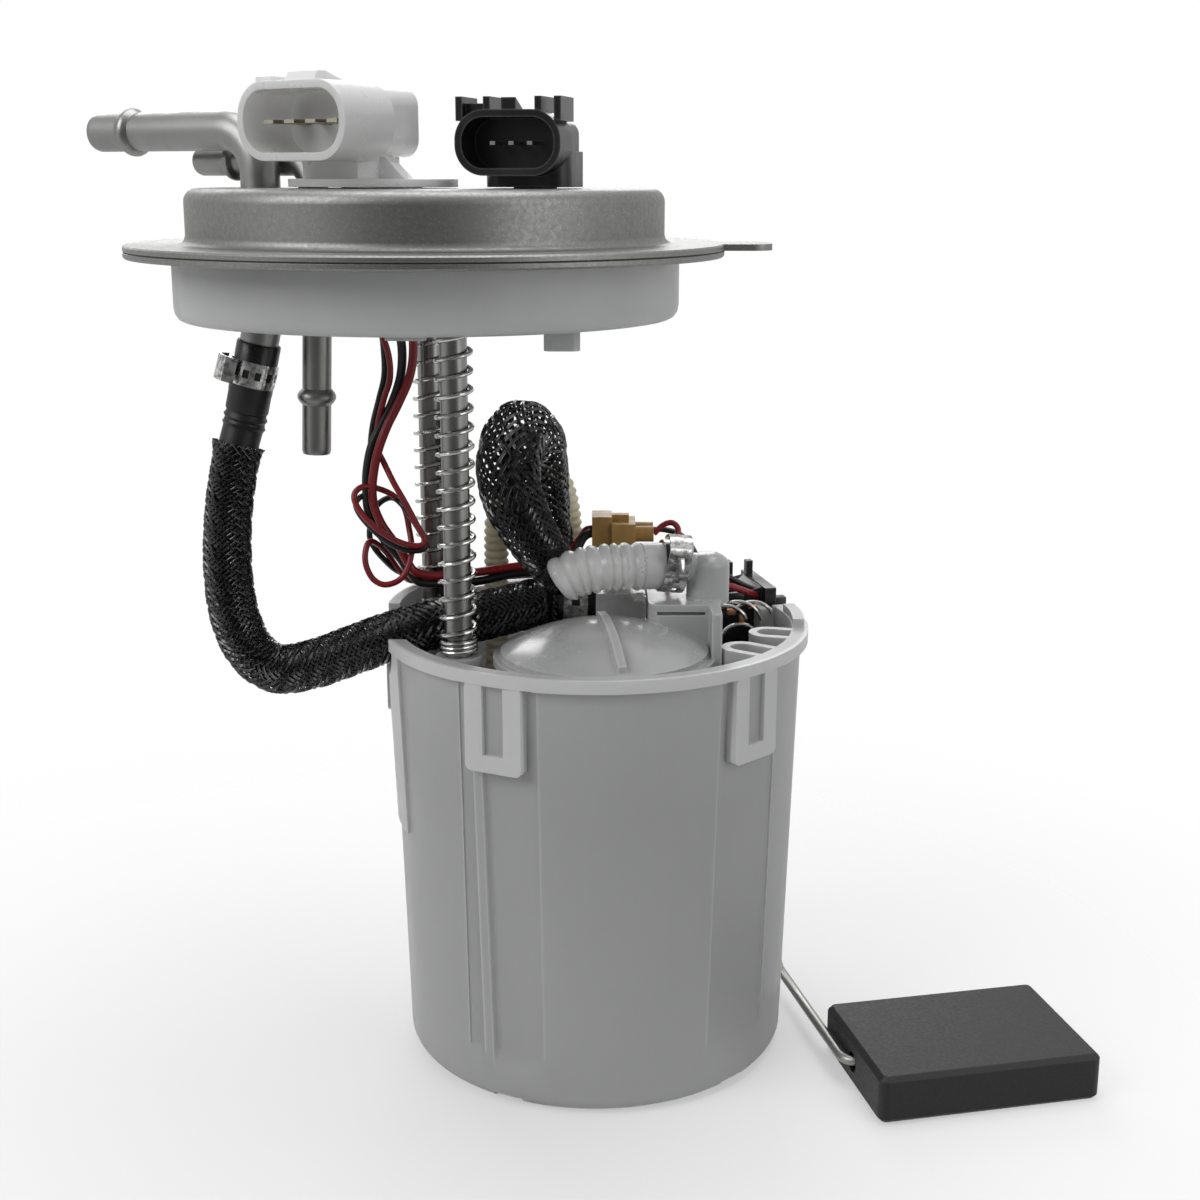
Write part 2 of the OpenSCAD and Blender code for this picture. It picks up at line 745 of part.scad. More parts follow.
// Rubber end of the supply hose on the outlet tube
module upper_cuff() {
    color([0.08, 0.08, 0.08])
    along(outlet_foot - outlet_down * cuff_l, outlet_down)
        difference() {
            cylinder(r = cuff_r, h = cuff_l);
            translate([0, 0, -1])
                cylinder(r = outlet_r + run_fit, h = cuff_l + 2);
        }
}

// Ear clamp on the upper end of the supply hose
module upper_clamp() {
    color("silver")
    along(outlet_foot - outlet_down * (cuff_l - 4), outlet_down)
        rotate([0, 0, 90])
            band_clamp(cuff_r + run_fit);
}

// Supply hose in its braided sleeve, from the outlet tube round to the pump cap
module supply_hose() {
    color([0.06, 0.06, 0.06])
        swept(concat([outlet_foot + outlet_down * run_fit], supply_route,
            [[port_x - run_fit, port_y, port_z]]), hose_d / 2, 12);
}

// Rubber end of the supply hose on the cap's port
module lower_cuff() {
    color([0.08, 0.08, 0.08])
    translate([port_x, port_y, port_z])
        rotate([0, 90, 0])
            difference() {
                cylinder(r = cuff_r, h = tower_x - port_x - seat_gap);
                translate([0, 0, -1])
                    cylinder(r = spigot_r + run_fit, h = 20);
            }
}

// Ear clamp on the lower end of the supply hose
module lower_clamp() {
    color("silver")
    translate([port_x + 2, port_y, port_z])
        rotate([0, -90, 0])
            translate([0, 0, -band_w])
                band_clamp(cuff_r + run_fit);
}

// Thick red wire of the harness
module harness_red() {
    color("darkred")
        swept(concat([[-5, 2, plug_spigot_z - run_fit]], red_route,
            [[plug_post.x - 8.4, plug_post.y + 2, motor_plug_z + 4],
                [plug_post.x - 6.5 - run_fit, plug_post.y + 2, motor_plug_z + 4]]), thick_wire / 2);
}

// Thick black wire of the harness
module harness_black() {
    color([0.08, 0.08, 0.08])
        swept(concat([[-8.6, 2, plug_spigot_z - run_fit]], black_route,
            [[plug_post.x - 8.4, plug_post.y - 2, motor_plug_z + 4],
                [plug_post.x - 6.5 - run_fit, plug_post.y - 2, motor_plug_z + 4]]), thick_wire / 2);
}

// Thin red wire that goes on to the level sender
module sender_wire_red() {
    color("darkred")
        swept(concat([[-14.4, 2, plug_spigot_z - run_fit]], thin_red_route,
            [sender_plug - [0, 0, 0.9]]), thin_wire / 2);
}

// Thin black wire that goes on to the level sender
module sender_wire_black() {
    color([0.08, 0.08, 0.08])
        swept(concat([[-11.6, 2, plug_spigot_z - run_fit]], thin_black_route,
            [sender_plug + [0, 0, 0.9]]), thin_wire / 2);
}

// Inside of the tapered bucket, from the floor to above the lip
module bucket_bore(grow = 0) {
    translate([0, 0, foot_h + res_wall])
        cylinder(r1 = foot_r - res_wall - grow, r2 = top_r - res_wall - grow, h = res_h - foot_h);
}

// Outside of the tapered bucket, with its rounded foot
module bucket_form() {
    edge = [for (a = [0:15:90]) [foot_r - foot_edge + foot_edge * sin(a), foot_edge - foot_edge * cos(a)]];
    rotate_extrude($fn = 180)
        polygon(concat([[0, foot_h], [foot_r - foot_edge - 6, foot_h], [foot_r - foot_edge - 6, 0]], edge,
            [[top_r, res_h], [0, res_h]]));
}

// One flute's cut, fading out above the foot
module flute_cut() {
    face = top_r - flute_depth;
    drop = res_h * sin(taper);
    rotate([90, 0, 90])
        translate([0, 0, -flute_w / 2])
            linear_extrude(flute_w)
                polygon([[foot_r + 6, 9], [foot_r + 0.2, 9], [face - drop * 0.87, 14],
                    [face, res_h - lip_h + 0.12], [top_r + 6, res_h - lip_h + 0.12]]);
}

// One raised latch pocket that hangs from the lip
module latch_pocket() {
    depth = flute_depth + lip_out - 0.3;
    slot_depth = 1.3;
    translate([0, top_r - flute_depth + depth / 2 - 0.2, res_h - pocket_h - lip_h + 0.6])
        difference() {
            translate([0, 0, pocket_h / 2])
                rotate([90, 0, 0])
                    linear_extrude(depth, center = true)
                        rounded(pocket_w, pocket_h, 1.5);
            translate([-pocket_slot_w / 2, depth / 2 - slot_depth, 4])
                cube([pocket_slot_w, depth, pocket_h - 4.6]);
        }
}

// Upright sleeve for one guide rod, joined to the wall
module rod_guide(x, y) {
    turn = atan2(y, x - res_x);
    reach = norm([x - res_x, y]);
    translate([x - res_x, y, 0])
        translate([0, 0, guide_end_z - foot_z])
            cylinder(r = guide_r, h = seat_z - guide_end_z);
    rotate([0, 0, turn])
        translate([reach + rod_r + 1, -1.2, guide_end_z - foot_z + 0.5])
            cube([top_r - reach, 2.4, seat_z - guide_end_z - 1]);
}

// Half-round loop inside the lip, open at the top
module lip_loop(turn, reach) {
    rotate([0, 0, turn])
        translate([0, 0, res_h - 9])
            linear_extrude(9)
                difference() {
                    union() {
                        translate([reach, 0])
                            circle(loop_r);
                        translate([reach, -loop_r])
                            square([top_r - reach, 2 * loop_r]);
                    }
                    translate([reach, 0])
                        circle(loop_r - loop_wall);
                    translate([reach, loop_wall - loop_r])
                        square([top_r - reach, 2 * (loop_r - loop_wall)]);
                }
}

// Reservoir bucket: fluted wall, lip, latch pockets, rod guides, sender flat and foot
module reservoir() {
    color([0.93, 0.93, 0.92])
    translate([res_x, 0, foot_z])
        difference() {
            union() {
                difference() {
                    union() {
                        bucket_form();
                        translate([0, 0, res_h - lip_h])
                            cylinder(r = top_r + lip_out, h = lip_h, $fn = 180);
                        for (turn = [-6, 144])
                            rotate([0, 0, turn])
                                translate([0, 0, res_h - 1])
                                    rotate_extrude(angle = turn < 0 ? 18 : 36)
                                        translate([top_r - res_wall + 0.1, 0])
                                            square([res_wall + 0.6, lug_h + 1]);
                        rotate([0, 0, 156])
                            rotate_extrude(angle = 48)
                                polygon([[top_r - 3, res_h - 48], [top_r - 0.6, res_h - 48],
                                    [top_r + 1.1, res_h - lip_h + 0.5], [top_r - 3, res_h - lip_h + 0.5]]);
                    }
                    for (i = [0:flutes - 1])
                        rotate([0, 0, 180 + flute_turn + i * flute_step])
                            flute_cut();
                    bucket_bore();
                }
                for (i = [0:flutes - 1])
                    rotate([0, 0, 180 + flute_turn + i * flute_step])
                        latch_pocket();
                intersection() {
                    bucket_form();
                    union() {
                        rod_guide(front_rod_x, front_rod_y);
                        rod_guide(rear_rod_x, rear_rod_y);
                        cap_ribs();
                        lip_loop(-34.3, 41.5);
                        lip_loop(-13.2, 43);
                    }
                }
                sender_pad();
            }
            sender_cut();
            hose_saddle();
            for (p = [[front_rod_x, front_rod_y], [rear_rod_x, rear_rod_y]])
                translate([p.x - res_x, p.y, 20])
                    cylinder(r = rod_r + run_fit, h = res_h);
            for (i = [0:flutes - 1])
                rotate([0, 0, 180 + flute_turn + i * flute_step])
                    translate([-4, foot_r - foot_edge - 8, -1])
                        cube([8, 20, foot_h + 1]);
            translate([valve_at.x, valve_at.y, -1]) {
                cylinder(r = valve_stem_r + run_fit, h = 10);
                for (a = [0:60:300])
                    rotate([0, 0, a])
                        translate([6, 0, 0])
                            cylinder(r = 1.6, h = 10, $fn = 24);
            }
        }
}

// Saddle in the lip where the supply hose comes over
module hose_saddle() {
    r = hose_d / 2 + 0.6;
    translate([-res_x, 0, -foot_z])
        along(saddle_at, saddle_along)
            translate([0, 0, -11])
                linear_extrude(20)
                    polygon(concat([for (a = [-90:18:90]) r * [cos(a), sin(a)]], [[-16, r], [-16, -r]]));
}

// Ribs inside the wall that carry the pump cap's rim
module cap_ribs() {
    for (a = cap_ribs_at)
        translate([pump_at.x - res_x, pump_at.y, 0])
            rotate([0, 0, a])
                translate([cap_r + 0.4, -1.2, foot_h])
                    cube([24, 2.4, cap_seat_z - seat_gap - foot_z - foot_h]);
}

// Flat boss outside the wall that carries the level sender
module sender_pad() {
    rotate([0, 0, sender_turn]) {
        difference() {
            translate([30, 16, pivot_h - 22])
                cube([sender_flat - 29.5, 16.6, 66]);
            rotate([0, 0, -sender_turn])
                bucket_bore(-0.6);
        }
        intersection() {
            translate([sender_flat - 2.3, 4, 16])
                cube([3.3, 16, res_h - 16.4]);
            rotate([0, 0, -sender_turn])
                bucket_form();
        }
    }
}

// Flat that the sender seats on, cut across the lip as well
module sender_cut() {
    rotate([0, 0, sender_turn])
        translate([sender_flat, sender_y0 - 2, pivot_h - 24])
            cube([12, sender_w + 4, res_h]);
}

// Umbrella valve that lets fuel in through the floor
module floor_valve() {
    under = foot_h - 1.6;
    top = foot_h + res_wall;
    color([0.15, 0.15, 0.15])
    translate([res_x + valve_at.x, valve_at.y, foot_z])
        rotate_extrude()
            polygon([[0, under], [3, under], [3, foot_h - 0.1], [valve_stem_r, foot_h - 0.1],
                [valve_stem_r, top + 0.1], [8.6, top + 0.1], [8.8, top + 0.6], [4, top + 1.6],
                [0, top + 1.8]]);
}

// Outline of the cap's dome at a radius
function cap_z(r) = cap_top_z - cap_rise * r * r / (cap_r * cap_r);

// Pump cap: dome, rib, hose port, deck and carrier plate for the regulator
module pump_cap() {
    c = [pump_at.x, pump_at.y, 0];
    rim_z = cap_z(cap_r);
    outer = [for (i = [0:8]) [cap_r * i / 8, cap_z(cap_r * i / 8)]];
    inner = [for (i = [8:-1:0])
        [(cap_r - cap_wall) * i / 8, cap_z((cap_r - cap_wall) * i / 8) - cap_wall]];
    spine = [for (i = [0:8]) 5 - i * (cap_r + 4) / 8];
    color([0.92, 0.92, 0.91])
    difference() {
        union() {
            translate(c)
                rotate_extrude($fn = 120)
                    polygon(concat(outer, [[cap_r, cap_seat_z + 1.6], [cap_r + 1.8, cap_seat_z + 1.6],
                        [cap_r + 1.8, cap_seat_z], [cap_r, cap_seat_z], [cap_r, cap_seat_z - 7],
                        [cap_r - cap_wall, cap_seat_z - 7]], inner));
            translate(c)
                rotate_extrude()
                    polygon([[pump_r + 0.15, can_top_z - 5], [pump_r + 2, can_top_z - 5],
                        [pump_r + 2, cap_z(pump_r + 2) - 0.4], [pump_r + 0.15, cap_z(pump_r) - 0.4]]);
            translate(c)
                rotate([0, 0, spine_turn])
                    translate([-1, 0, 0])
                        rotate([90, 0, 90])
                            linear_extrude(2)
                                polygon(concat([for (y = spine) [y, cap_z(abs(y)) + 1.5]],
                                    [for (i = [8:-1:0]) [spine[i], cap_z(abs(spine[i])) - 0.75]]));
            translate([tower_x, -6, rim_z - 3])
                cube([tower_w, 17, deck_z - rim_z + 3]);
            translate([port_x + 0.6, port_y, port_z])
                rotate([0, 90, 0])
                    cylinder(r = spigot_r, h = tower_x - port_x);
            translate([deck_x + deck_w / 2, deck_front + deck_d / 2, cap_seat_z - 3])
                linear_extrude(deck_z - cap_seat_z + 3)
                    rounded(deck_w, deck_d, 3);
            translate([deck_x + deck_w - 3, deck_front - 9, cap_seat_z])
                cube([2.4, 12, deck_z - cap_seat_z]);
            translate([loop_port.x + 6.5, loop_port.y, deck_z - 1])
                cylinder(r = 5.2, h = loop_port.z - deck_z + 1.3);
            translate([loop_port.x + 6.5, loop_port.y, loop_port.z + 0.3])
                rotate_extrude()
                    polygon(concat([[0, 0]], [for (a = [0:15:75]) [5.2 * cos(a), 4.9 * sin(a)]],
                        [[0, 4.9 * sin(75)]]));
            along(loop_port + [6.5, 0, 0.6], [-cos(loop_tilt), 0, -sin(loop_tilt)])
                cylinder(r = spigot_r, h = 17);
            translate([0, 0, plate_z])
                linear_extrude(plate_t)
                    carrier_outline();
            translate([feed_at.x, feed_at.y, plate_z + plate_t - 0.5])
                cylinder(r = nipple_r, h = 9.5);
            translate([plug_post.x - 3.5, plug_post.y - 3.5, plate_z + plate_t - 0.5])
                cube([7, 7, motor_plug_z - plate_z - plate_t + 0.5 - seat_gap]);
            translate([pump_at.x + outlet_nipple_x, pump_at.y, can_top_z + 7])
                cylinder(r = 6, h = cap_z(outlet_nipple_x) - can_top_z - 8);
        }
        translate(c)
            translate([0, 0, can_top_z - 8])
                cylinder(r = pump_r + 0.15, h = 15.5);
        translate([pump_at.x + outlet_nipple_x, pump_at.y, can_top_z])
            cylinder(r = 3.8 + run_fit, h = 14.6);
        translate([regulator_at.x, regulator_at.y, plate_z - 1])
            cylinder(r = regulator_r + run_fit, h = plate_t + 2);
        translate([deck_x + 2, deck_front - 1, deck_z - 2.6])
            cube([deck_w - 6, 3, 0.9]);
        translate([feed_at.x, feed_at.y, plate_z - 1])
            cylinder(r = 1.2, h = 20);
    }
}

// Outline of the plate behind the cap that carries the regulator, the feed nipple and the plug post
module carrier_outline() {
    translate(regulator_at)
        circle(regulator_r + 3);
    translate(feed_at)
        circle(5);
    difference() {
        translate([regulator_at.x, -2])
            square([24, 24]);
        translate(pump_at)
            circle(cap_r - 1);
    }
}

// Steel can of the pump
module pump_can() {
    color("silver")
    translate([pump_at.x, pump_at.y, can_foot_z])
        difference() {
            cylinder(r = pump_r, h = pump_h);
            translate([0, 0, -1])
                cylinder(r = bore_r, h = pump_h + 2);
        }
}

// Head of the pump: lid, brush ring, top bearing and outlet nipple
module pump_head() {
    color([0.12, 0.12, 0.12])
    translate([pump_at.x, pump_at.y, can_top_z])
        difference() {
            union() {
                cylinder(r = pump_r - 0.1, h = 6);
                translate([0, 0, -14])
                    cylinder(r = bore_r - run_fit, h = 14);
                translate([outlet_nipple_x, 0, 5])
                    cylinder(r = 3.8, h = 9);
            }
            translate([0, 0, -15])
                cylinder(r = armature_d / 2 + 0.3, h = 12);
            translate([0, 0, -4])
                cylinder(r = shaft_r + run_fit, h = 6.4);
            translate([outlet_nipple_x, 0, 3])
                cylinder(r = 2.5, h = 12);
            translate([outlet_nipple_x, 0, -4])
                cylinder(r = 1.2, h = 8, $fn = 32);
        }
}

// Curved magnets inside the can
module pump_magnets() {
    color([0.25, 0.25, 0.27])
    translate([pump_at.x, pump_at.y, can_foot_z + 16])
        for (side = [0, 180])
            rotate([0, 0, side - 60])
                rotate_extrude(angle = 120)
                    translate([armature_d / 2 + 0.6, 0])
                        square([bore_r - armature_d / 2 - 0.6 - run_fit, pump_h - 32]);
}

// Carbon brushes against the commutator
module pump_brushes() {
    color([0.18, 0.18, 0.18])
    translate([pump_at.x, pump_at.y, can_top_z - 12])
        for (side = [0, 180])
            rotate([0, 0, side])
                translate([6.1, -2, 0])
                    cube([armature_d / 2 - 6.1, 4, 6]);
}

// Plate between the motor and the impeller, with the lower bearing
module pump_plate() {
    color("gray")
    translate([pump_at.x, pump_at.y, can_foot_z + 9])
        difference() {
            cylinder(r = bore_r - run_fit, h = 4);
            translate([0, 0, -1])
                cylinder(r = shaft_r + run_fit, h = 6);
            for (a = [0:120:240])
                rotate([0, 0, a])
                    translate([10, 0, -1])
                        cylinder(r = 2, h = 6);
        }
}

// Inlet plate that closes the pump's foot
module pump_inlet() {
    color([0.12, 0.12, 0.12])
    translate([pump_at.x, pump_at.y, can_foot_z])
        difference() {
            union() {
                translate([0, 0, -5])
                    cylinder(r = pump_r, h = 5 - run_fit);
                translate([0, 0, -1])
                    cylinder(r = bore_r - 1, h = 3);
                cylinder(r = bore_r - run_fit, h = 4.6);
                translate([6, 0, -7.4])
                    cylinder(r = 5, h = 3);
            }
            translate([0, 0, 1])
                cylinder(r = shaft_r + run_fit, h = 6);
            translate([6, 0, -9])
                cylinder(r = 3, h = 20);
        }
}

// Strainer sock under the pump
module pump_strainer() {
    top = can_foot_z - 7.4 - seat_gap;
    color([0.85, 0.85, 0.8])
    translate([pump_at.x, pump_at.y, floor_z + seat_gap])
        linear_extrude(top - floor_z - seat_gap)
            rounded(34, 30, 8);
}

// Shaft of the motor
module motor_shaft() {
    color("silver")
    translate([pump_at.x, pump_at.y, can_foot_z + 1.3])
        cylinder(r = shaft_r, h = pump_h + 0.5);
}

// Wound armature on the shaft
module armature() {
    slots = 8;
    color("peru")
    translate([pump_at.x, pump_at.y, can_foot_z + 18])
        difference() {
            cylinder(r = armature_d / 2, h = pump_h - 36);
            translate([0, 0, -1])
                cylinder(r = shaft_r + 0.02, h = pump_h);
            for (i = [0:slots - 1])
                rotate([0, 0, i * 360 / slots])
                    translate([armature_d / 2 - 4, -1, -1])
                        cube([6, 2, pump_h]);
        }
}

// Commutator under the brushes
module commutator() {
    color("chocolate")
    translate([pump_at.x, pump_at.y, can_top_z - 13])
        difference() {
            cylinder(r = 5.9, h = 8);
            translate([0, 0, -1])
                cylinder(r = shaft_r + 0.02, h = 10);
        }
}

// Impeller with vanes cut round its rim
module impeller() {
    color([0.3, 0.25, 0.2])
    translate([pump_at.x, pump_at.y, can_foot_z + 5])
        difference() {
            cylinder(r = impeller_d / 2, h = 3);
            translate([0, 0, -1])
                cylinder(r = shaft_r + 0.02, h = 5);
            for (i = [0:vanes - 1])
                rotate([0, 0, i * 360 / vanes])
                    translate([impeller_d / 2 - 3, -1, -1])
                        cube([5, 2, 5]);
        }
}

// Poppet of the check valve in the outlet nipple
module check_poppet() {
    color("orange")
    translate([pump_at.x + outlet_nipple_x, pump_at.y, can_top_z + 3 + run_fit])
        rotate_extrude()
            polygon([[0, 0], [1.8, 0], [2.5 - run_fit, 1.2], [2.5 - run_fit, 3], [1.2, 3], [1.2, 4], [0, 4]]);
}

// Spring that holds the poppet shut
module check_spring() {
    color("gray")
    translate([pump_at.x + outlet_nipple_x, pump_at.y, 0])
        coil(can_top_z + 6.1 + run_fit, can_top_z + 12 - run_fit, 1.85, 0.4, 5, 1, 8, 4);
}

// Ring that keeps the check spring in
module check_retainer() {
    color("gray")
    translate([pump_at.x + outlet_nipple_x, pump_at.y, can_top_z + 12])
        difference() {
            cylinder(r = 2.5 - run_fit, h = 1.2);
            translate([0, 0, -1])
                cylinder(r = 1.5, h = 4);
        }
}

// White corrugated tube from the cap's upper spigot to the loop hose
module corrugated_tube() {
    r = corrugated_d / 2;
    wave = [for (i = [0:ribs - 1]) each [[r - 1.1, i * rib_pitch + 0.2], [r, i * rib_pitch + 0.9],
        [r, i * rib_pitch + 1.9], [r - 1.1, i * rib_pitch + 2.6]]];
    color("white")
    along(loop_port - corrugated_l * [cos(loop_tilt), 0, sin(loop_tilt)], [cos(loop_tilt), 0, sin(loop_tilt)])
        rotate_extrude()
            polygon(concat([[spigot_r + run_fit, 0]], wave, [[r, ribs * rib_pitch + 1], [r, corrugated_l],
                [spigot_r + run_fit, corrugated_l]]));
}

// Ear clamp on the corrugated tube
module loop_clamp() {
    color("silver")
    along(loop_port - 7.5 * [cos(loop_tilt), 0, sin(loop_tilt)], [cos(loop_tilt), 0, sin(loop_tilt)])
        rotate([0, 0, 180])
            band_clamp(corrugated_d / 2 + run_fit);
}

// Loop hose in its open braided sleeve, from the corrugated tube over to the regulator
module loop_hose() {
    start = loop_port - (corrugated_l + run_fit) * [cos(loop_tilt), 0, sin(loop_tilt)];
    color([0.06, 0.06, 0.06])
        swept(concat([start], loop_route, [[regulator_at.x, regulator_at.y, lip_z + 3.3]]), loop_d / 2, 12,
            [0.6, -0.8, 0]);
}

// Pressure regulator behind the pump, with its spigot up into the loop hose
module pressure_regulator() {
    color("silver")
    translate([regulator_at.x, regulator_at.y, 0])
        rotate_extrude()
            polygon([[0, plate_z - 20], [6, plate_z - 20], [7, plate_z - 19], [7, plate_z - 10],
                [9, plate_z - 8],
                [regulator_r + 1.4, plate_z - 8], [regulator_r + 1.4, plate_z - seat_gap],
                [regulator_r, plate_z - seat_gap], [regulator_r, plate_z + plate_t + 1],
                [spigot_r + 1, plate_z + plate_t + 2], [spigot_r, plate_z + plate_t + 3],
                [spigot_r, lip_z + 3 - run_fit], [0, lip_z + 3 - run_fit]]);
}

// Feed hose of the jet pump, from the cap's nipple over and down to the floor
module feed_hose() {
    top = [feed_at.x, feed_at.y, plate_z + plate_t + 9 + run_fit];
    foot = [jet_at.x, jet_at.y, jet_z + 12 + run_fit];
    color("wheat")
        swept(concat([foot], feed_route, [top]), feed_r, 10);
}

// Jet pump: inlet nipple, floor tube and tapered riser
module jet_pump() {
    run = [jet_end.x - jet_at.x, jet_end.y - jet_at.y, 0];
    color([0.2, 0.2, 0.21])
    union() {
        translate([jet_at.x, jet_at.y, jet_z - 5.4])
            cylinder(r = jet_r + 1, h = 8.4);
        translate([jet_at.x, jet_at.y, jet_z])
            cylinder(r = nipple_r, h = 12);
        along([jet_at.x, jet_at.y, jet_z], run)
            cylinder(r = jet_r, h = norm(run));
        translate([jet_end.x, jet_end.y, jet_z - 5.4])
            cylinder(r = jet_r + 1.6, h = 9);
        along([jet_end.x, jet_end.y, jet_z + 2], [0.06, 0, 1])
            cylinder(r1 = jet_r + 0.6, r2 = jet_r - 1.4, h = 46);
    }
}

// Tan plug of the motor leads
module motor_plug() {
    color("tan")
    translate([plug_post.x, plug_post.y, motor_plug_z])
        union() {
            translate([-6.5, -4.5, 0])
                cube([5, 9, 8.2]);
            translate([-1.6, -5.6, 0])
                cube([6, 11.2, 6.6]);
            translate([-1.6, -1.4, 5])
                cube([4.4, 2.8, 3.2]);
            for (y = [-2.6, 2.6])
                translate([4, y, 3.6])
                    rotate([0, 90, 0])
                        cylinder(r = 2, h = 5);
        }
}

// Red lead from the motor plug
module motor_lead_red() {
    color("darkred")
        swept(concat([[plug_post.x + 9.2, plug_post.y - 2.6, motor_plug_z + 3.6]], lead_red_route,
            [[57, 6, deck_z + 0.8]]), thin_wire / 2, 8, [0, 0.2, 1]);
}

// Black lead from the motor plug
module motor_lead_black() {
    color([0.08, 0.08, 0.08])
        swept(concat([[plug_post.x + 9 + run_fit, plug_post.y + 2.6, motor_plug_z + 3.6]], lead_black_route,
            [[65, 7, deck_z + 0.8]]), thin_wire / 2, 8, [0, 0.2, 1]);
}

// Moves children into the sender's frame: X out of the flat, Y along it
module at_sender() {
    translate([res_x, 0, 0])
        rotate([0, 0, sender_turn])
            children();
}

// Sender housing: plate on the flat, pivot boss and a hook over the lip
module sender_housing() {
    back = sender_flat + seat_gap;
    color([0.1, 0.1, 0.11])
    at_sender()
        difference() {
            union() {
                translate([back, sender_y0, pivot_z - 18])
                    cube([plate_out - back, sender_w, lip_z + 4 - pivot_z + 18]);
                translate([33, sender_y0 + 3, lip_z + seat_gap])
                    cube([back - 32, sender_w - 6, 3.7 - seat_gap]);
                translate([33, sender_y0 + 3, lip_z - 9])
                    cube([3, sender_w - 6, 12]);
                translate([37, pivot_y + 3, lip_z + 2])
                    cube([5, 4, 6]);
                translate([46, pivot_y + 4, lip_z + 2])
                    cube([1.8, 2.4, 6]);
                translate([plate_out - 1, pivot_y, pivot_z])
                    rotate([0, 90, 0])
                        cylinder(r = boss_r, h = 6.8);
            }
            translate([plate_out - 0.7, sender_y0 + 0.6, pivot_z + 6])
                cube([2, sender_w - 4, 10]);
            translate([plate_out - 1, pivot_y, pivot_z])
                rotate([0, 90, 0])
                    translate([0, 0, 5.6])
                        rotate_extrude()
                            translate([boss_r - 0.5, 0])
                                square([2, 0.7]);
        }
}

// Ceramic card with the resistor tracks
module sender_card() {
    color([0.8, 0.82, 0.85])
    at_sender()
        translate([plate_out - 0.65, sender_y0 + 0.65, pivot_z + 6.05])
            cube([0.65, sender_w - 4.1, 9.9]);
}

// Bright contact springs beside the sender, inside the lip
module sender_contacts() {
    color("silver")
    at_sender()
        for (y = [5.5, 14.5])
            translate([33 - seat_gap, sender_y0 + y, lip_z - 2])
                rotate([0, -90, 0])
                    difference() {
                        cylinder(r = 4, h = 2);
                        translate([0, 0, -1])
                            cylinder(r = 3, h = 4);
                    }
}

// Hub that carries the float arm on the pivot boss
module arm_hub() {
    down = [0, knee_y - pivot_y, float_z - pivot_z];
    color([0.12, 0.12, 0.13])
    at_sender()
        difference() {
            translate([plate_out + 0.6, pivot_y, pivot_z])
                rotate([0, 90, 0])
                    cylinder(r = hub_r, h = 3.9);
            translate([plate_out, pivot_y, pivot_z])
                rotate([0, 90, 0])
                    cylinder(r = boss_r + run_fit, h = 8);
            translate([arm_x, pivot_y, pivot_z])
                along([0, 0, 0], down)
                    cylinder(r = arm_wire / 2 + 0.02, h = 12);
        }
}

// Sprung contact that the hub drags over the card
module wiper() {
    color("goldenrod")
    at_sender()
        translate([plate_out + 0.25, pivot_y, pivot_z])
            rotate([45, 0, 0])
                difference() {
                    translate([0, -1.5, -2])
                        cube([0.3, 3, 16]);
                    translate([-1, 0, 0])
                        rotate([0, 90, 0])
                            cylinder(r = boss_r + 0.4, h = 3);
                }
}

// Clip that keeps the hub on its boss
module pivot_clip() {
    color("dimgray")
    at_sender()
        translate([plate_out + 4.65, pivot_y, pivot_z])
            rotate([0, 90, 0])
                difference() {
                    cylinder(r = boss_r + 1.8, h = 0.6);
                    translate([0, 0, -1])
                        cylinder(r = boss_r - 0.5 + run_fit, h = 3);
                    translate([0, -1, -1])
                        cube([6, 2, 3]);
                }
}

// Bent wire arm from the hub down, along the foot and into the float
module float_arm() {
    hub = [arm_x, pivot_y, pivot_z];
    knee = [arm_x, knee_y, float_z];
    down = (knee - hub) / norm(knee - hub);
    hook = [arm_x, hook_y, float_z];
    color("darkgray")
    at_sender()
        bent_bar([hub + down * (boss_r + 0.4), knee, hook, hook + [hook_l, 0, 0]], arm_wire / 2,
            arm_bend, 10);
}

// Closed-cell float with a blind hole for the arm's end
module float() {
    edge = 1.2;
    mid = [float_x + float_l / 2, hook_y, float_z];
    color([0.16, 0.16, 0.17])
    at_sender()
        difference() {
            hull()
                for (s = [[0, float_t], [edge, float_t - 2 * edge]])
                    translate([mid.x, mid.y, mid.z - float_t / 2 + s[0]])
                        linear_extrude(s[1])
                            rounded(float_l - 2 * edge + 2 * s[0], float_w - 2 * edge + 2 * s[0],
                                1 + s[0], $fn = 16);
            translate([float_x - 1, hook_y, float_z])
                rotate([0, 90, 0])
                    cylinder(r = arm_wire / 2 + run_fit, h = hook_l + 1);
            translate([float_x - 1, hook_y, float_z])
                rotate([0, 90, 0])
                    cylinder(r = arm_wire / 2 + 1.2, h = 3.6);
        }
}

cover_plate();
carrier();
outlet_tube();
vapour_tube();
connector_shell();
connector_blades();
pressure_sensor();
sensor_pins();
sensor_grommet();
front_rod();
rear_rod();
rod_clips();
front_spring();
rear_spring();
upper_cuff();
upper_clamp();
supply_hose();
lower_cuff();
lower_clamp();
harness_red();
harness_black();
sender_wire_red();
sender_wire_black();
reservoir();
floor_valve();
pump_cap();
pump_can();
pump_head();
pump_magnets();
pump_brushes();
pump_plate();
pump_inlet();
pump_strainer();
motor_shaft();
armature();
commutator();
impeller();
check_poppet();
check_spring();
check_retainer();
corrugated_tube();
loop_clamp();
loop_hose();
pressure_regulator();
feed_hose();
jet_pump();
motor_plug();
motor_lead_red();
motor_lead_black();
sender_housing();
sender_card();
sender_contacts();
arm_hub();
wiper();
pivot_clip();
float_arm();
float();
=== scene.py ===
"""Looks of the in-tank fuel pump module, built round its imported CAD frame."""
import math

import bmesh
import bpy
import numpy as np
from mathutils import Matrix, Vector


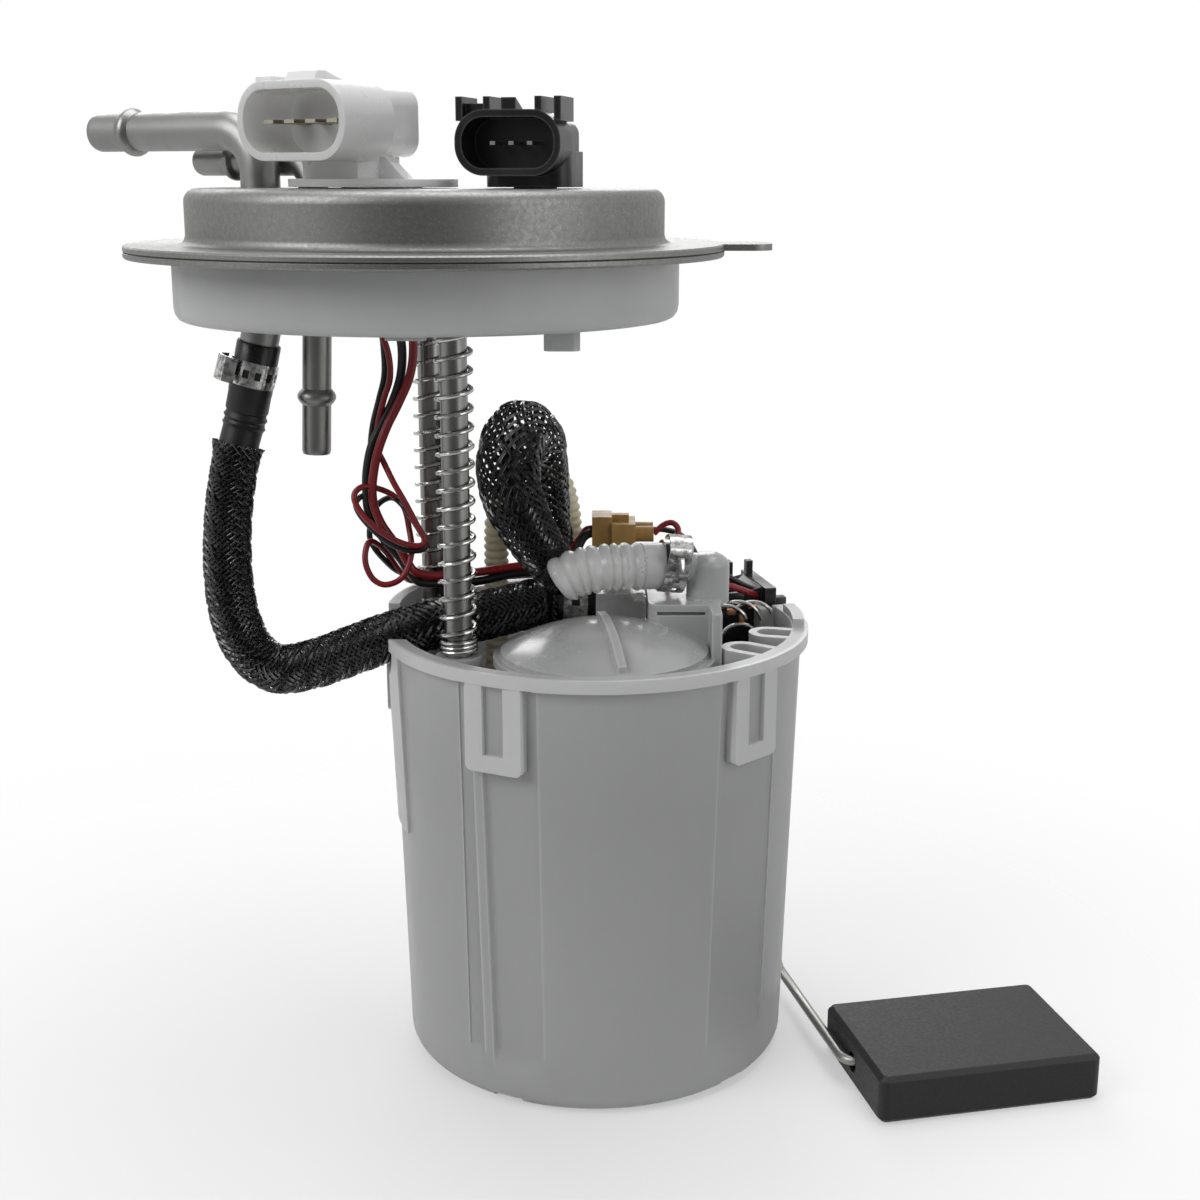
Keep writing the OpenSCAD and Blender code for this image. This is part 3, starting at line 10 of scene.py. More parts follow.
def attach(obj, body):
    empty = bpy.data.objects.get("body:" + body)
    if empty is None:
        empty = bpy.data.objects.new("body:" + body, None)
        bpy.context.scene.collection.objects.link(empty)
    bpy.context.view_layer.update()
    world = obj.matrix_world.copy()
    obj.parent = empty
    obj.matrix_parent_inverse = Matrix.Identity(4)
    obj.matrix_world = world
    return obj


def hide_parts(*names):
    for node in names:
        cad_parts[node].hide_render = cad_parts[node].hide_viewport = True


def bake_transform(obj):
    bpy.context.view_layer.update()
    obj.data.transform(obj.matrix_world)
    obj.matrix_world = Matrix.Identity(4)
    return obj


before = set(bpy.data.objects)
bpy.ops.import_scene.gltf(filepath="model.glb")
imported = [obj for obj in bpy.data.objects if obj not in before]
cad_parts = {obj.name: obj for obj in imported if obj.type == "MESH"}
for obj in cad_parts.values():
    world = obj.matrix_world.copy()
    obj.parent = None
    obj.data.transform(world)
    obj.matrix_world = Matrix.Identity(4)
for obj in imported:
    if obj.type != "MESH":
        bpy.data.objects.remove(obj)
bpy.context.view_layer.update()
MM = 0.001
# Sizes of the bucket and of the housing on it, in metres.
BUCKET_X, BUCKET_FOOT_R, BUCKET_TAPER, FLOOR_Z = 0.0395, 0.0478, 2.8 / 108, -0.197
LUG_Z, LUG_FROM, LUG_TO = -0.0870, -9, 15
HOOK_REACH, HOOK_Z, HOOK_LOW_Z = 0.0455, -0.0853, -0.0884
ELBOW_X, ELBOW_Z, ELBOW_SQUEEZE = 0.0585, -0.0735, 0.68
HOUSING_TURN = math.radians(12)
TAU = 2 * math.pi
UP = np.array([0.0, 0.0, 1.0])
# The outlet tube's lower end, in mm, which the hose's upper cuff sits on.
TUBE_DOWN = np.array([-math.sin(math.radians(13)), 0, -math.cos(math.radians(13))])
TUBE_KNEE = np.array([-39.5, 4, -12.0])
TUBE_FOOT = TUBE_KNEE + 26 * TUBE_DOWN
# How far each clamp's ear is turned round its hose.
UPPER_EAR, LOWER_EAR, LOOP_EAR = 1.05, 4.4, 2.3


# Shared shader groups

def new_group(name, inputs, output, kind):
    """A shader group with its inputs and one output, and its two end nodes."""
    tree = bpy.data.node_groups.new(name, "ShaderNodeTree")
    for label, default in inputs:
        socket = tree.interface.new_socket(label, in_out="INPUT", socket_type="NodeSocketFloat")
        socket.default_value = default
    tree.interface.new_socket(output, in_out="OUTPUT", socket_type=kind)
    return tree, tree.nodes.new("NodeGroupInput"), tree.nodes.new("NodeGroupOutput")


def noise_of(tree, vector, scale, detail, rough=0.55):
    """Noise on a vector, at the scale that a socket gives."""
    n = tree.nodes.new("ShaderNodeTexNoise")
    n.inputs["Detail"].default_value = detail
    n.inputs["Roughness"].default_value = rough
    tree.links.new(vector, n.inputs["Vector"])
    tree.links.new(scale, n.inputs["Scale"])
    return n.outputs["Fac"]


def stretched(tree, stretch):
    """Object coordinates with their Z multiplied by a socket."""
    at = tree.nodes.new("ShaderNodeTexCoord")
    join = tree.nodes.new("ShaderNodeCombineXYZ")
    join.inputs["X"].default_value = 1
    join.inputs["Y"].default_value = 1
    tree.links.new(stretch, join.inputs["Z"])
    mul = tree.nodes.new("ShaderNodeVectorMath")
    mul.operation = "MULTIPLY"
    tree.links.new(at.outputs["Object"], mul.inputs[0])
    tree.links.new(join.outputs[0], mul.inputs[1])
    return mul.outputs[0]


def make_grain():
    """Fine bumps, drawn out along Z where Stretch is small."""
    tree, i, o = new_group("surface_grain", [("Scale", 900), ("Height", 0.00002), ("Stretch", 1)],
                           "Normal", "NodeSocketVector")
    v = stretched(tree, i.outputs["Stretch"])
    f = noise_of(tree, v, i.outputs["Scale"], 6)
    bump = tree.nodes.new("ShaderNodeBump")
    tree.links.new(i.outputs["Height"], bump.inputs["Distance"])
    tree.links.new(f, bump.inputs["Height"])
    tree.links.new(bump.outputs["Normal"], o.inputs["Normal"])
    return tree


def make_patches():
    """Soft patches of tone."""
    tree, i, o = new_group("tone_patches", [("Scale", 30), ("Low", 0.4), ("High", 0.6), ("Stretch", 1)],
                           "Mask", "NodeSocketFloat")
    v = stretched(tree, i.outputs["Stretch"])
    f = noise_of(tree, v, i.outputs["Scale"], 5, 0.6)
    m = tree.nodes.new("ShaderNodeMapRange")
    tree.links.new(f, m.inputs["Value"])
    tree.links.new(i.outputs["Low"], m.inputs["From Min"])
    tree.links.new(i.outputs["High"], m.inputs["From Max"])
    tree.links.new(m.outputs["Result"], o.inputs["Mask"])
    return tree


def make_specks():
    """Small round specks, high at their middle."""
    tree, i, o = new_group("fine_specks", [("Scale", 400), ("Size", 0.2)], "Mask", "NodeSocketFloat")
    at = tree.nodes.new("ShaderNodeTexCoord")
    vor = tree.nodes.new("ShaderNodeTexVoronoi")
    tree.links.new(at.outputs["Object"], vor.inputs["Vector"])
    tree.links.new(i.outputs["Scale"], vor.inputs["Scale"])
    m = tree.nodes.new("ShaderNodeMapRange")
    m.inputs["To Min"].default_value = 1
    m.inputs["To Max"].default_value = 0
    tree.links.new(vor.outputs["Distance"], m.inputs["Value"])
    m.inputs["From Min"].default_value = 0
    tree.links.new(i.outputs["Size"], m.inputs["From Max"])
    tree.links.new(m.outputs["Result"], o.inputs["Mask"])
    return tree


def make_edge_highlight():
    """High where a surface turns sharply; it lays a painted highlight where moulded edges would catch the
    light.
    """
    tree, i, o = new_group("painted_edge_highlight", [("Radius", 0.001)], "Mask", "NodeSocketFloat")
    soft, true = tree.nodes.new("ShaderNodeBevel"), tree.nodes.new("ShaderNodeNewGeometry")
    soft.samples = 6
    tree.links.new(i.outputs["Radius"], soft.inputs["Radius"])
    dot, m = tree.nodes.new("ShaderNodeVectorMath"), tree.nodes.new("ShaderNodeMapRange")
    dot.operation = "DOT_PRODUCT"
    tree.links.new(soft.outputs["Normal"], dot.inputs[0])
    tree.links.new(true.outputs["Normal"], dot.inputs[1])
    m.inputs["From Min"].default_value = 0.98
    m.inputs["From Max"].default_value = 0.7
    tree.links.new(dot.outputs["Value"], m.inputs["Value"])
    tree.links.new(m.outputs["Result"], o.inputs["Mask"])
    return tree


def make_height_light():
    """Rises from 0 to 1 between two heights of the part; it lays painted light, the colour lighter towards
    the part's top.
    """
    tree, i, o = new_group("painted_height_light", [("Low", -0.2), ("High", -0.09)], "Mask", "NodeSocketFloat")
    at, split = tree.nodes.new("ShaderNodeTexCoord"), tree.nodes.new("ShaderNodeSeparateXYZ")
    m = tree.nodes.new("ShaderNodeMapRange")
    m.interpolation_type = "SMOOTHSTEP"
    tree.links.new(at.outputs["Object"], split.inputs[0])
    tree.links.new(split.outputs["Z"], m.inputs["Value"])
    tree.links.new(i.outputs["Low"], m.inputs["From Min"])
    tree.links.new(i.outputs["High"], m.inputs["From Max"])
    tree.links.new(m.outputs["Result"], o.inputs["Mask"])
    return tree


def make_proud_light():
    """High on what stands proud of the bucket's tapered wall, where the nylon is thick; it lays painted light
    on these rims and ridges.
    """
    tree, i, o = new_group("painted_proud_light", [("Near", 0.0006), ("Far", 0.0012)], "Mask", "NodeSocketFloat")
    kinds = ("TexCoord", "VectorMath", "VectorMath", "SeparateXYZ", "Math", "Math", "MapRange")
    at, flat, out, split, wall, proud, m = (tree.nodes.new("ShaderNode" + k) for k in kinds)
    flat.operation, out.operation = "MULTIPLY_ADD", "LENGTH"
    flat.inputs[1].default_value = (1, 1, 0)
    flat.inputs[2].default_value = (-BUCKET_X, 0, 0)
    wall.operation, proud.operation = "MULTIPLY_ADD", "SUBTRACT"
    wall.inputs[1].default_value = BUCKET_TAPER
    wall.inputs[2].default_value = BUCKET_FOOT_R - FLOOR_Z * BUCKET_TAPER
    for a, b in ((at.outputs["Object"], flat.inputs[0]), (flat.outputs[0], out.inputs[0]),
                 (at.outputs["Object"], split.inputs[0]), (split.outputs["Z"], wall.inputs[0]),
                 (out.outputs["Value"], proud.inputs[0]), (wall.outputs[0], proud.inputs[1]),
                 (proud.outputs[0], m.inputs["Value"]), (i.outputs["Near"], m.inputs["From Min"]),
                 (i.outputs["Far"], m.inputs["From Max"]), (m.outputs["Result"], o.inputs["Mask"])):
        tree.links.new(a, b)
    return tree


GRAIN, PATCHES, SPECKS, EDGES = make_grain(), make_patches(), make_specks(), make_edge_highlight()
HEIGHT_LIGHT, PROUD_LIGHT = make_height_light(), make_proud_light()


def use_group(tree, group, **values):
    """Places a group in a material with its own values."""
    n = tree.nodes.new("ShaderNodeGroup")
    n.node_tree = group
    for k, v in values.items():
        n.inputs[k].default_value = v
    return n.outputs[0]


def mixed(tree, mask, amount, a, b):
    """Colour a turns to b where the mask is high; a may be a socket."""
    scale = tree.nodes.new("ShaderNodeMath")
    scale.operation = "MULTIPLY"
    tree.links.new(mask, scale.inputs[0])
    scale.inputs[1].default_value = amount
    mix = tree.nodes.new("ShaderNodeMix")
    mix.data_type = "RGBA"
    tree.links.new(scale.outputs[0], mix.inputs["Factor"])
    for socket, value in ((mix.inputs[6], a), (mix.inputs[7], b)):
        if isinstance(value, (tuple, list)):
            socket.default_value = (*value, 1)
        else:
            tree.links.new(value, socket)
    return mix.outputs[2]


def rough_range(tree, mask, low, high, into):
    """Feeds a socket from low to high as the mask rises."""
    m = tree.nodes.new("ShaderNodeMapRange")
    m.inputs["To Min"].default_value = low
    m.inputs["To Max"].default_value = high
    tree.links.new(mask, m.inputs["Value"])
    tree.links.new(m.outputs["Result"], into)


def surface(name, color, rough, metal=0.0, grain=(900, 2e-5, 1), second=None, patch=(40, 0.42, 0.62, 1),
            amount=0.5, spread=0.08, specks=None, coat=0.0, sss=0.0, clear=0.0, edges=None, rise=None,
            proud=None):
    """A finish: a base tone, a second one in patches, and tones laid over them.

    specks, edges, rise and proud each hold their mask's values, then the amount and the tone. edges lays a
    painted highlight on sharp edges, rise lays painted light towards a part's top, and proud lays painted
    light on what stands proud of the bucket's wall.
    """
    mat = bpy.data.materials.new(name)
    mat.use_nodes = True
    tree = mat.node_tree
    b = tree.nodes["Principled BSDF"]
    b.inputs["Base Color"].default_value = (*color, 1)
    b.inputs["Roughness"].default_value = rough
    b.inputs["Metallic"].default_value = metal
    b.inputs["Coat Weight"].default_value = coat
    b.inputs["Coat Roughness"].default_value = 0.15
    b.inputs["Subsurface Weight"].default_value = sss
    b.inputs["Subsurface Scale"].default_value = 0.004
    b.inputs["Subsurface Radius"].default_value = (1, 1, 1)
    b.inputs["Transmission Weight"].default_value = clear
    mask = use_group(tree, PATCHES, Scale=patch[0], Low=patch[1], High=patch[2], Stretch=patch[3])
    second = second or tuple(c * 0.7 for c in color)
    tone = mixed(tree, mask, amount, color, second)
    if specks:
        spots = use_group(tree, SPECKS, Scale=specks[0], Size=specks[1])
        tone = mixed(tree, spots, specks[2], tone, specks[3])
    # edges: a painted highlight, lighter colour along sharp edges.
    if edges:
        tone = mixed(tree, use_group(tree, EDGES, Radius=edges[0]), edges[1], tone, edges[2])
    # rise: painted light, the colour lighter towards the part's top.
    if rise:
        tone = mixed(tree, use_group(tree, HEIGHT_LIGHT, Low=rise[0], High=rise[1]), rise[2], tone, rise[3])
    # proud: painted light on what stands proud of the bucket's wall.
    if proud:
        tone = mixed(tree, use_group(tree, PROUD_LIGHT, Near=proud[0], Far=proud[1]), proud[2], tone, proud[3])
    tree.links.new(tone, b.inputs["Base Color"])
    rough_range(tree, mask, max(rough - spread, 0.02), rough + spread, b.inputs["Roughness"])
    normal = use_group(tree, GRAIN, Scale=grain[0], Height=grain[1], Stretch=grain[2])
    tree.links.new(normal, b.inputs["Normal"])
    if coat:
        tree.links.new(normal, b.inputs["Coat Normal"])
    mat.diffuse_color = (*color, 1)
    return mat


# The finishes

MATERIALS = {
    "cover": surface("cover_steel", (0.26, 0.26, 0.255), 0.46, 1, grain=(700, 1.6e-5, 1),
                     second=(0.2, 0.2, 0.195), patch=(900, 0.36, 0.64, 1), amount=0.45, spread=0.05,
                     specks=(1500, 0.3, 0.4, (0.6, 0.6, 0.58))),
    "tube": surface("tube_steel", (0.30, 0.30, 0.295), 0.4, 1, grain=(1500, 8e-6, 1),
                    second=(0.27, 0.27, 0.265), patch=(120, 0.4, 0.66, 1),
                    specks=(1900, 0.14, 0.3, (0.55, 0.55, 0.53))),
    "rod": surface("rod_steel", (0.3, 0.3, 0.29), 0.3, 1, grain=(300, 1.5e-5, 0.06),
                   second=(0.24, 0.24, 0.23), patch=(260, 0.35, 0.7, 0.1), amount=0.6),
    "spring": surface("spring_steel", (0.62, 0.62, 0.61), 0.24, 1, grain=(1500, 4e-6, 1),
                      patch=(300, 0.4, 0.7, 1)),
    "clamp": surface("clamp_steel", (0.74, 0.74, 0.73), 0.18, 1, grain=(500, 3e-5, 1),
                     second=(0.12, 0.12, 0.12), patch=(620, 0.44, 0.6, 1), amount=0.75),
    "bright": surface("bright_steel", (0.72, 0.71, 0.69), 0.2, 1, grain=(900, 4e-6, 1)),
    "arm": surface("arm_steel", (0.42, 0.42, 0.40), 0.34, 1, grain=(900, 8e-6, 1), second=(0.3, 0.29, 0.27)),
    "dark_clip": surface("clip_steel", (0.25, 0.25, 0.25), 0.35, 1, grain=(900, 8e-6, 1)),
    "brass": surface("contact_brass", (0.46, 0.42, 0.33), 0.3, 1, grain=(900, 5e-6, 1)),
    "copper": surface("copper", (0.72, 0.36, 0.18), 0.35, 1, grain=(1200, 2e-5, 1)),
    "carrier": surface("carrier_nylon", (0.64, 0.645, 0.64), 0.42, grain=(500, 1.5e-5, 1),
                       second=(0.58, 0.585, 0.58), amount=0.4, sss=0.15,
                       # edges: a painted highlight along the carrier's sharp edges.
                       edges=(0.0012, 0.7, (0.82, 0.82, 0.81))),
    "plug": surface("plug_nylon", (0.93, 0.93, 0.925), 0.34, grain=(600, 1.2e-5, 1),
                    second=(0.78, 0.78, 0.76), amount=0.3, sss=0.35, clear=0.1),
    "bucket": surface("reservoir_nylon", (0.57, 0.575, 0.57), 0.42, grain=(420, 1.6e-5, 1),
                      second=(0.52, 0.525, 0.52), patch=(28, 0.36, 0.66, 0.5), amount=0.45, sss=0.2,
                      # edges: a painted highlight along the bucket's edges.
                      clear=0.22, edges=(0.0014, 0.8, (0.92, 0.92, 0.92)),
                      # rise: painted light, the bucket's wall lighter towards its lip.
                      rise=(-0.125, -0.088, 0.3, (0.78, 0.78, 0.78)),
                      # proud: painted light on the bucket's raised rims and ridges.
                      proud=(0.0004, 0.001, 0.9, (0.95, 0.95, 0.95))),
    "cap": surface("cap_nylon", (0.6, 0.605, 0.6), 0.24, grain=(300, 2.5e-5, 1), second=(0.48, 0.49, 0.49),
                   # edges: a painted highlight along the cap's edges.
                   amount=0.5, sss=0.25, clear=0.12, coat=0.35, edges=(0.0012, 0.75, (0.88, 0.88, 0.88))),
    "black": surface("black_plastic", (0.007, 0.007, 0.008), 0.36, grain=(700, 1.2e-5, 1),
                     # edges: grey painted highlights along the black mouldings' edges.
                     second=(0.012, 0.012, 0.013), spread=0.1, edges=(0.0008, 0.8, (0.14, 0.14, 0.14))),
    "rubber": surface("hose_rubber", (0.004, 0.004, 0.004), 0.36, grain=(900, 2e-5, 0.3),
                      second=(0.009, 0.009, 0.009), spread=0.12),
    "seal": surface("seal_rubber", (0.02, 0.02, 0.02), 0.6, grain=(900, 3e-5, 1)),
    "thread": surface("braid_thread", (0.004, 0.004, 0.005), 0.26, grain=(1500, 1.2e-5, 1),
                      second=(0.02, 0.02, 0.022), patch=(420, 0.45, 0.7, 1), spread=0.1, coat=0.8),
    "red": surface("wire_red", (0.30, 0.016, 0.022), 0.32, grain=(900, 8e-6, 1), second=(0.2, 0.01, 0.014),
                   patch=(160, 0.4, 0.6, 1)),
    "wire": surface("wire_black", (0.012, 0.012, 0.012), 0.34, grain=(900, 8e-6, 1),
                    second=(0.02, 0.02, 0.02)),
    "milky": surface("corrugated_nylon", (0.9, 0.9, 0.89), 0.24, grain=(600, 1.2e-5, 1),
                     second=(0.7, 0.71, 0.7), amount=0.4, sss=0.3, clear=0.3),
    "beige": surface("feed_plastic", (0.95, 0.89, 0.68), 0.5, grain=(500, 3e-5, 1), second=(0.72, 0.65, 0.44),
                     patch=(180, 0.38, 0.62, 1), amount=0.6, sss=0.3),
    "tan": surface("tan_plastic", (0.52, 0.31, 0.09), 0.42, grain=(600, 4e-5, 1), second=(0.36, 0.2, 0.055),
                   patch=(220, 0.36, 0.6, 0.3), amount=0.75),
    "mesh": surface("strainer_mesh", (0.7, 0.7, 0.64), 0.8, grain=(2200, 1.5e-4, 1)),
    "ferrite": surface("magnet_ferrite", (0.06, 0.06, 0.065), 0.7),
    "carbon": surface("brush_carbon", (0.03, 0.03, 0.03), 0.6),
    "resin": surface("impeller_resin", (0.1, 0.06, 0.03), 0.5),
    "ceramic": surface("card_ceramic", (0.66, 0.69, 0.72), 0.5),
    "foam": surface("float_foam", (0.012, 0.012, 0.013), 0.5, grain=(2200, 3e-5, 1),
                    second=(0.009, 0.009, 0.010), patch=(1500, 0.35, 0.65, 1), amount=0.6,
                    # edges: a painted highlight along the float's edges.
                    edges=(0.0012, 0.5, (0.07, 0.07, 0.07))),
}

FINISH = {
    "cover_plate": "cover", "carrier": "carrier", "outlet_tube": "tube", "vapour_tube": "tube",
    "connector_shell": "plug", "connector_blades": "brass", "pressure_sensor": "black",
    "sensor_pins": "bright", "sensor_grommet": "seal", "front_rod": "rod", "rear_rod": "rod",
    "rod_clips": "dark_clip", "front_spring": "spring", "rear_spring": "spring", "upper_cuff": "rubber",
    "upper_clamp": "clamp", "supply_hose": "rubber", "lower_cuff": "rubber", "lower_clamp": "clamp",
    "harness_red": "red", "harness_black": "wire", "sender_wire_red": "red", "sender_wire_black": "wire",
    "reservoir": "bucket", "floor_valve": "seal", "pump_cap": "cap", "pump_can": "clamp",
    "pump_head": "black", "pump_magnets": "ferrite", "pump_brushes": "carbon", "pump_plate": "clamp",
    "pump_inlet": "black", "pump_strainer": "mesh", "motor_shaft": "bright", "armature": "copper",
    "commutator": "copper", "impeller": "resin", "check_poppet": "seal", "check_spring": "spring",
    "check_retainer": "brass", "corrugated_tube": "milky", "loop_clamp": "clamp", "loop_hose": "rubber",
    "pressure_regulator": "clamp", "feed_hose": "beige", "jet_pump": "black", "motor_plug": "tan",
    "motor_lead_red": "red", "motor_lead_black": "wire", "sender_housing": "black",
    "sender_card": "ceramic", "sender_contacts": "bright", "arm_hub": "black", "wiper": "brass",
    "pivot_clip": "dark_clip", "float_arm": "arm", "float": "foam",
}
for node_name, finish_name in FINISH.items():
    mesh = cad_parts[node_name].data
    mesh.materials.clear()
    mesh.materials.append(MATERIALS[finish_name])


# Shape helpers

def finish_mesh(name, bm, material, angle=35):
    """An object made of bm, smooth but for the edges sharper than angle."""
    bmesh.ops.recalc_face_normals(bm, faces=bm.faces)
    mesh = bpy.data.meshes.new(name)
    bm.to_mesh(mesh)
    bm.free()
    mesh.shade_smooth()
    mesh.set_sharp_from_angle(angle=math.radians(angle))
    mesh.materials.append(MATERIALS[material])
    obj = bpy.data.objects.new(name, mesh)
    bpy.context.scene.collection.objects.link(obj)
    return obj


def curve_through(points, step):
    """Points every step mm along a smooth curve through the given ones."""
    p = np.array(points, float)
    p = np.vstack([2 * p[0] - p[1], p, 2 * p[-1] - p[-2]])
    dense = []
    for i in range(1, len(p) - 2):
        t = np.linspace(0, 1, 24, endpoint=False)[:, None]
        a, b, c, d = p[i - 1], p[i], p[i + 1], p[i + 2]
        bow, twist = 2 * a - 5 * b + 4 * c - d, 3 * b - a - 3 * c + d
        dense.append(0.5 * (2 * b + (c - a) * t + bow * t**2 + twist * t**3))
    dense = np.vstack([*dense, p[-2:-1]])
    return even(dense, step)


def even(line, step):
    """Points about every step mm along a line."""
    run = np.r_[0, np.cumsum(np.linalg.norm(np.diff(line, axis=0), axis=1))]
    n = max(int(round(run[-1] / step)), 2)
    s = np.linspace(0, run[-1], n + 1)
    return np.column_stack([np.interp(s, run, line[:, k]) for k in range(3)])


def filleted(points, bend, step):
    """Straight legs with round bends, as points every step mm."""
    p = [np.array(q, float) for q in points]
    line = [p[0]]
    for a, b, c in zip(p, p[1:], p[2:]):
        d1, d2 = (b - a) / np.linalg.norm(b - a), (c - b) / np.linalg.norm(c - b)
        turn = math.acos(float(np.clip(d1 @ d2, -1, 1)))
        cut = bend * math.tan(turn / 2)
        n = np.cross(d1, d2)
        n /= np.linalg.norm(n)
        m = np.cross(n, d1)
        centre = b - d1 * cut + m * bend
        for t in np.linspace(0, turn, 13):
            line.append(centre - m * bend * math.cos(t) + d1 * bend * math.sin(t))
    line.append(p[-1])
    return even(np.array(line), step)


def frames_along(path):
    """Tangents and two side directions along a path, without twist."""
    tan = np.gradient(path, axis=0)
    tan /= np.linalg.norm(tan, axis=1)[:, None]
    u = np.cross(tan[0], UP if abs(tan[0] @ UP) < 0.9 else np.array([1.0, 0, 0]))
    u /= np.linalg.norm(u)
    us = [u]
    for t in tan[1:]:
        u = us[-1] - (us[-1] @ t) * t
        us.append(u / np.linalg.norm(u))
    us = np.array(us)
    return tan, us, np.cross(tan, us)


_tubes = {}


def tube_template(rows, sides, capped):
    """A rolled-up grid; returns the mesh, each point's row and its angle."""
    key = (rows, sides, capped)
    if key not in _tubes:
        bm = bmesh.new()
        bm.loops.layers.uv.new("UVMap")
        bmesh.ops.create_grid(bm, x_segments=sides, y_segments=rows - 1, size=0.5, calc_uvs=True)
        lines = sorted({round(v.co.y, 6) for v in bm.verts})
        row_of = {y: i for i, y in enumerate(lines)}
        for v in bm.verts:
            a = (v.co.x + 0.5) * TAU
            v.co = (math.cos(a), math.sin(a), row_of[round(v.co.y, 6)])
        bmesh.ops.remove_doubles(bm, verts=bm.verts, dist=1e-4)
        if capped:
            rims = [e for e in bm.edges if e.is_boundary]
            bmesh.ops.holes_fill(bm, edges=rims, sides=0)
        bmesh.ops.recalc_face_normals(bm, faces=bm.faces)
        mesh = bpy.data.meshes.new("template")
        bm.to_mesh(mesh)
        bm.free()
        co = np.array([v.co for v in mesh.vertices])
        _tubes[key] = (mesh, np.rint(co[:, 2]).astype(int), np.arctan2(co[:, 1], co[:, 0]))
    return _tubes[key]


def tube_mesh(path, radius, sides, order=None, capped=True, side=None):
    """Mesh of a tube along a path in mm. order picks path rows, so a wall can turn back inside."""
    order = np.arange(len(path)) if order is None else np.array(order)
    template, row, angle = tube_template(len(order), sides, capped)
    tan, u, v = frames_along(path)
    if side is not None:
        v = side / np.linalg.norm(side, axis=1)[:, None]
        u = np.cross(v, tan)
    at = order[row]
    r = np.broadcast_to(radius, (len(order),))[row]
    co = path[at] + (r * np.cos(angle))[:, None] * u[at] + (r * np.sin(angle))[:, None] * v[at]
    mesh = template.copy()
    mesh.vertices.foreach_set("co", (co * MM).astype(np.float32).ravel())
    return mesh


def gathered(name, meshes, material, angle=35):
    """One piece made of several meshes."""
    bm = bmesh.new()
    for m in meshes:
        bm.from_mesh(m)
        bpy.data.meshes.remove(m)
    return finish_mesh(name, bm, material, angle)


def tube(name, path, radius, sides, material, **more):
    return gathered(name, [tube_mesh(path, radius, sides, **more)], material)


def turned(name, profile, material, place):
    """A profile of (radius, height) points in mm, spun round +Z and put in place."""
    bm = bmesh.new()
    verts = [bm.verts.new((r * MM, 0, z * MM)) for r, z in profile]
    edges = [bm.edges.new(pair) for pair in zip(verts, verts[1:])]
    bmesh.ops.spin(bm, geom=verts + edges, cent=(0, 0, 0), axis=(0, 0, 1), angle=TAU, steps=64,
                   use_merge=True)
    bmesh.ops.remove_doubles(bm, verts=bm.verts, dist=1e-6)
    bmesh.ops.transform(bm, matrix=place, verts=bm.verts)
    return finish_mesh(name, bm, material)


def placed(at, direction, spin=0.0):
    """Matrix that puts +Z along a direction, at a point in mm."""
    d = Vector(direction).normalized()
    return (Matrix.Translation(Vector(at) * MM) @ d.to_track_quat("Z", "Y").to_matrix().to_4x4()
            @ Matrix.Rotation(spin, 4, "Z"))


def block(bm, size, centre, bevel, turn=0.0):
    """A bevelled block in mm, turned about the vertical, added to bm."""
    made = bmesh.ops.create_cube(bm, size=1)["verts"]
    m = Matrix.Translation(Vector(centre) * MM) @ Matrix.Rotation(turn, 4, "Z") @ Matrix.Diagonal(
        (*(Vector(size) * MM), 1))
    bmesh.ops.transform(bm, matrix=m, verts=made)
    edges = list({e for v in made for e in v.link_edges})
    bmesh.ops.bevel(bm, geom=edges, offset=bevel * MM, offset_type="OFFSET", segments=2, profile=0.5,
                    affect="EDGES", clamp_overlap=True, material=-1)


def softened(node, offset, settle=None):
    """A copy of a CAD node with its sharp edges rounded, which stands for that node.

    settle moves single points of the copy before its edges are rounded.
    """
    bm = bmesh.new()
    bm.from_mesh(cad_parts[node].data)
    for v in bm.verts if settle else ():
        settle(v.co)
    bmesh.ops.remove_doubles(bm, verts=bm.verts, dist=2e-6)
    bmesh.ops.dissolve_limit(bm, angle_limit=math.radians(0.6), verts=bm.verts, edges=bm.edges)
    sharp = [e for e in bm.edges if e.is_manifold and len(e.link_faces) == 2
             and e.calc_face_angle(0) > math.radians(32) and e.calc_length() > 2e-5]
    bmesh.ops.bevel(bm, geom=sharp, offset=offset * MM, offset_type="OFFSET", segments=2, profile=0.5,
                    affect="EDGES", clamp_overlap=True, material=-1, miter_outer="ARC")
    obj = finish_mesh(node + "_soft", bm, FINISH[node], 30)
    even_light = obj.modifiers.new("even_light", "WEIGHTED_NORMAL")
    even_light.keep_sharp = True
    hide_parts(node)
    return obj


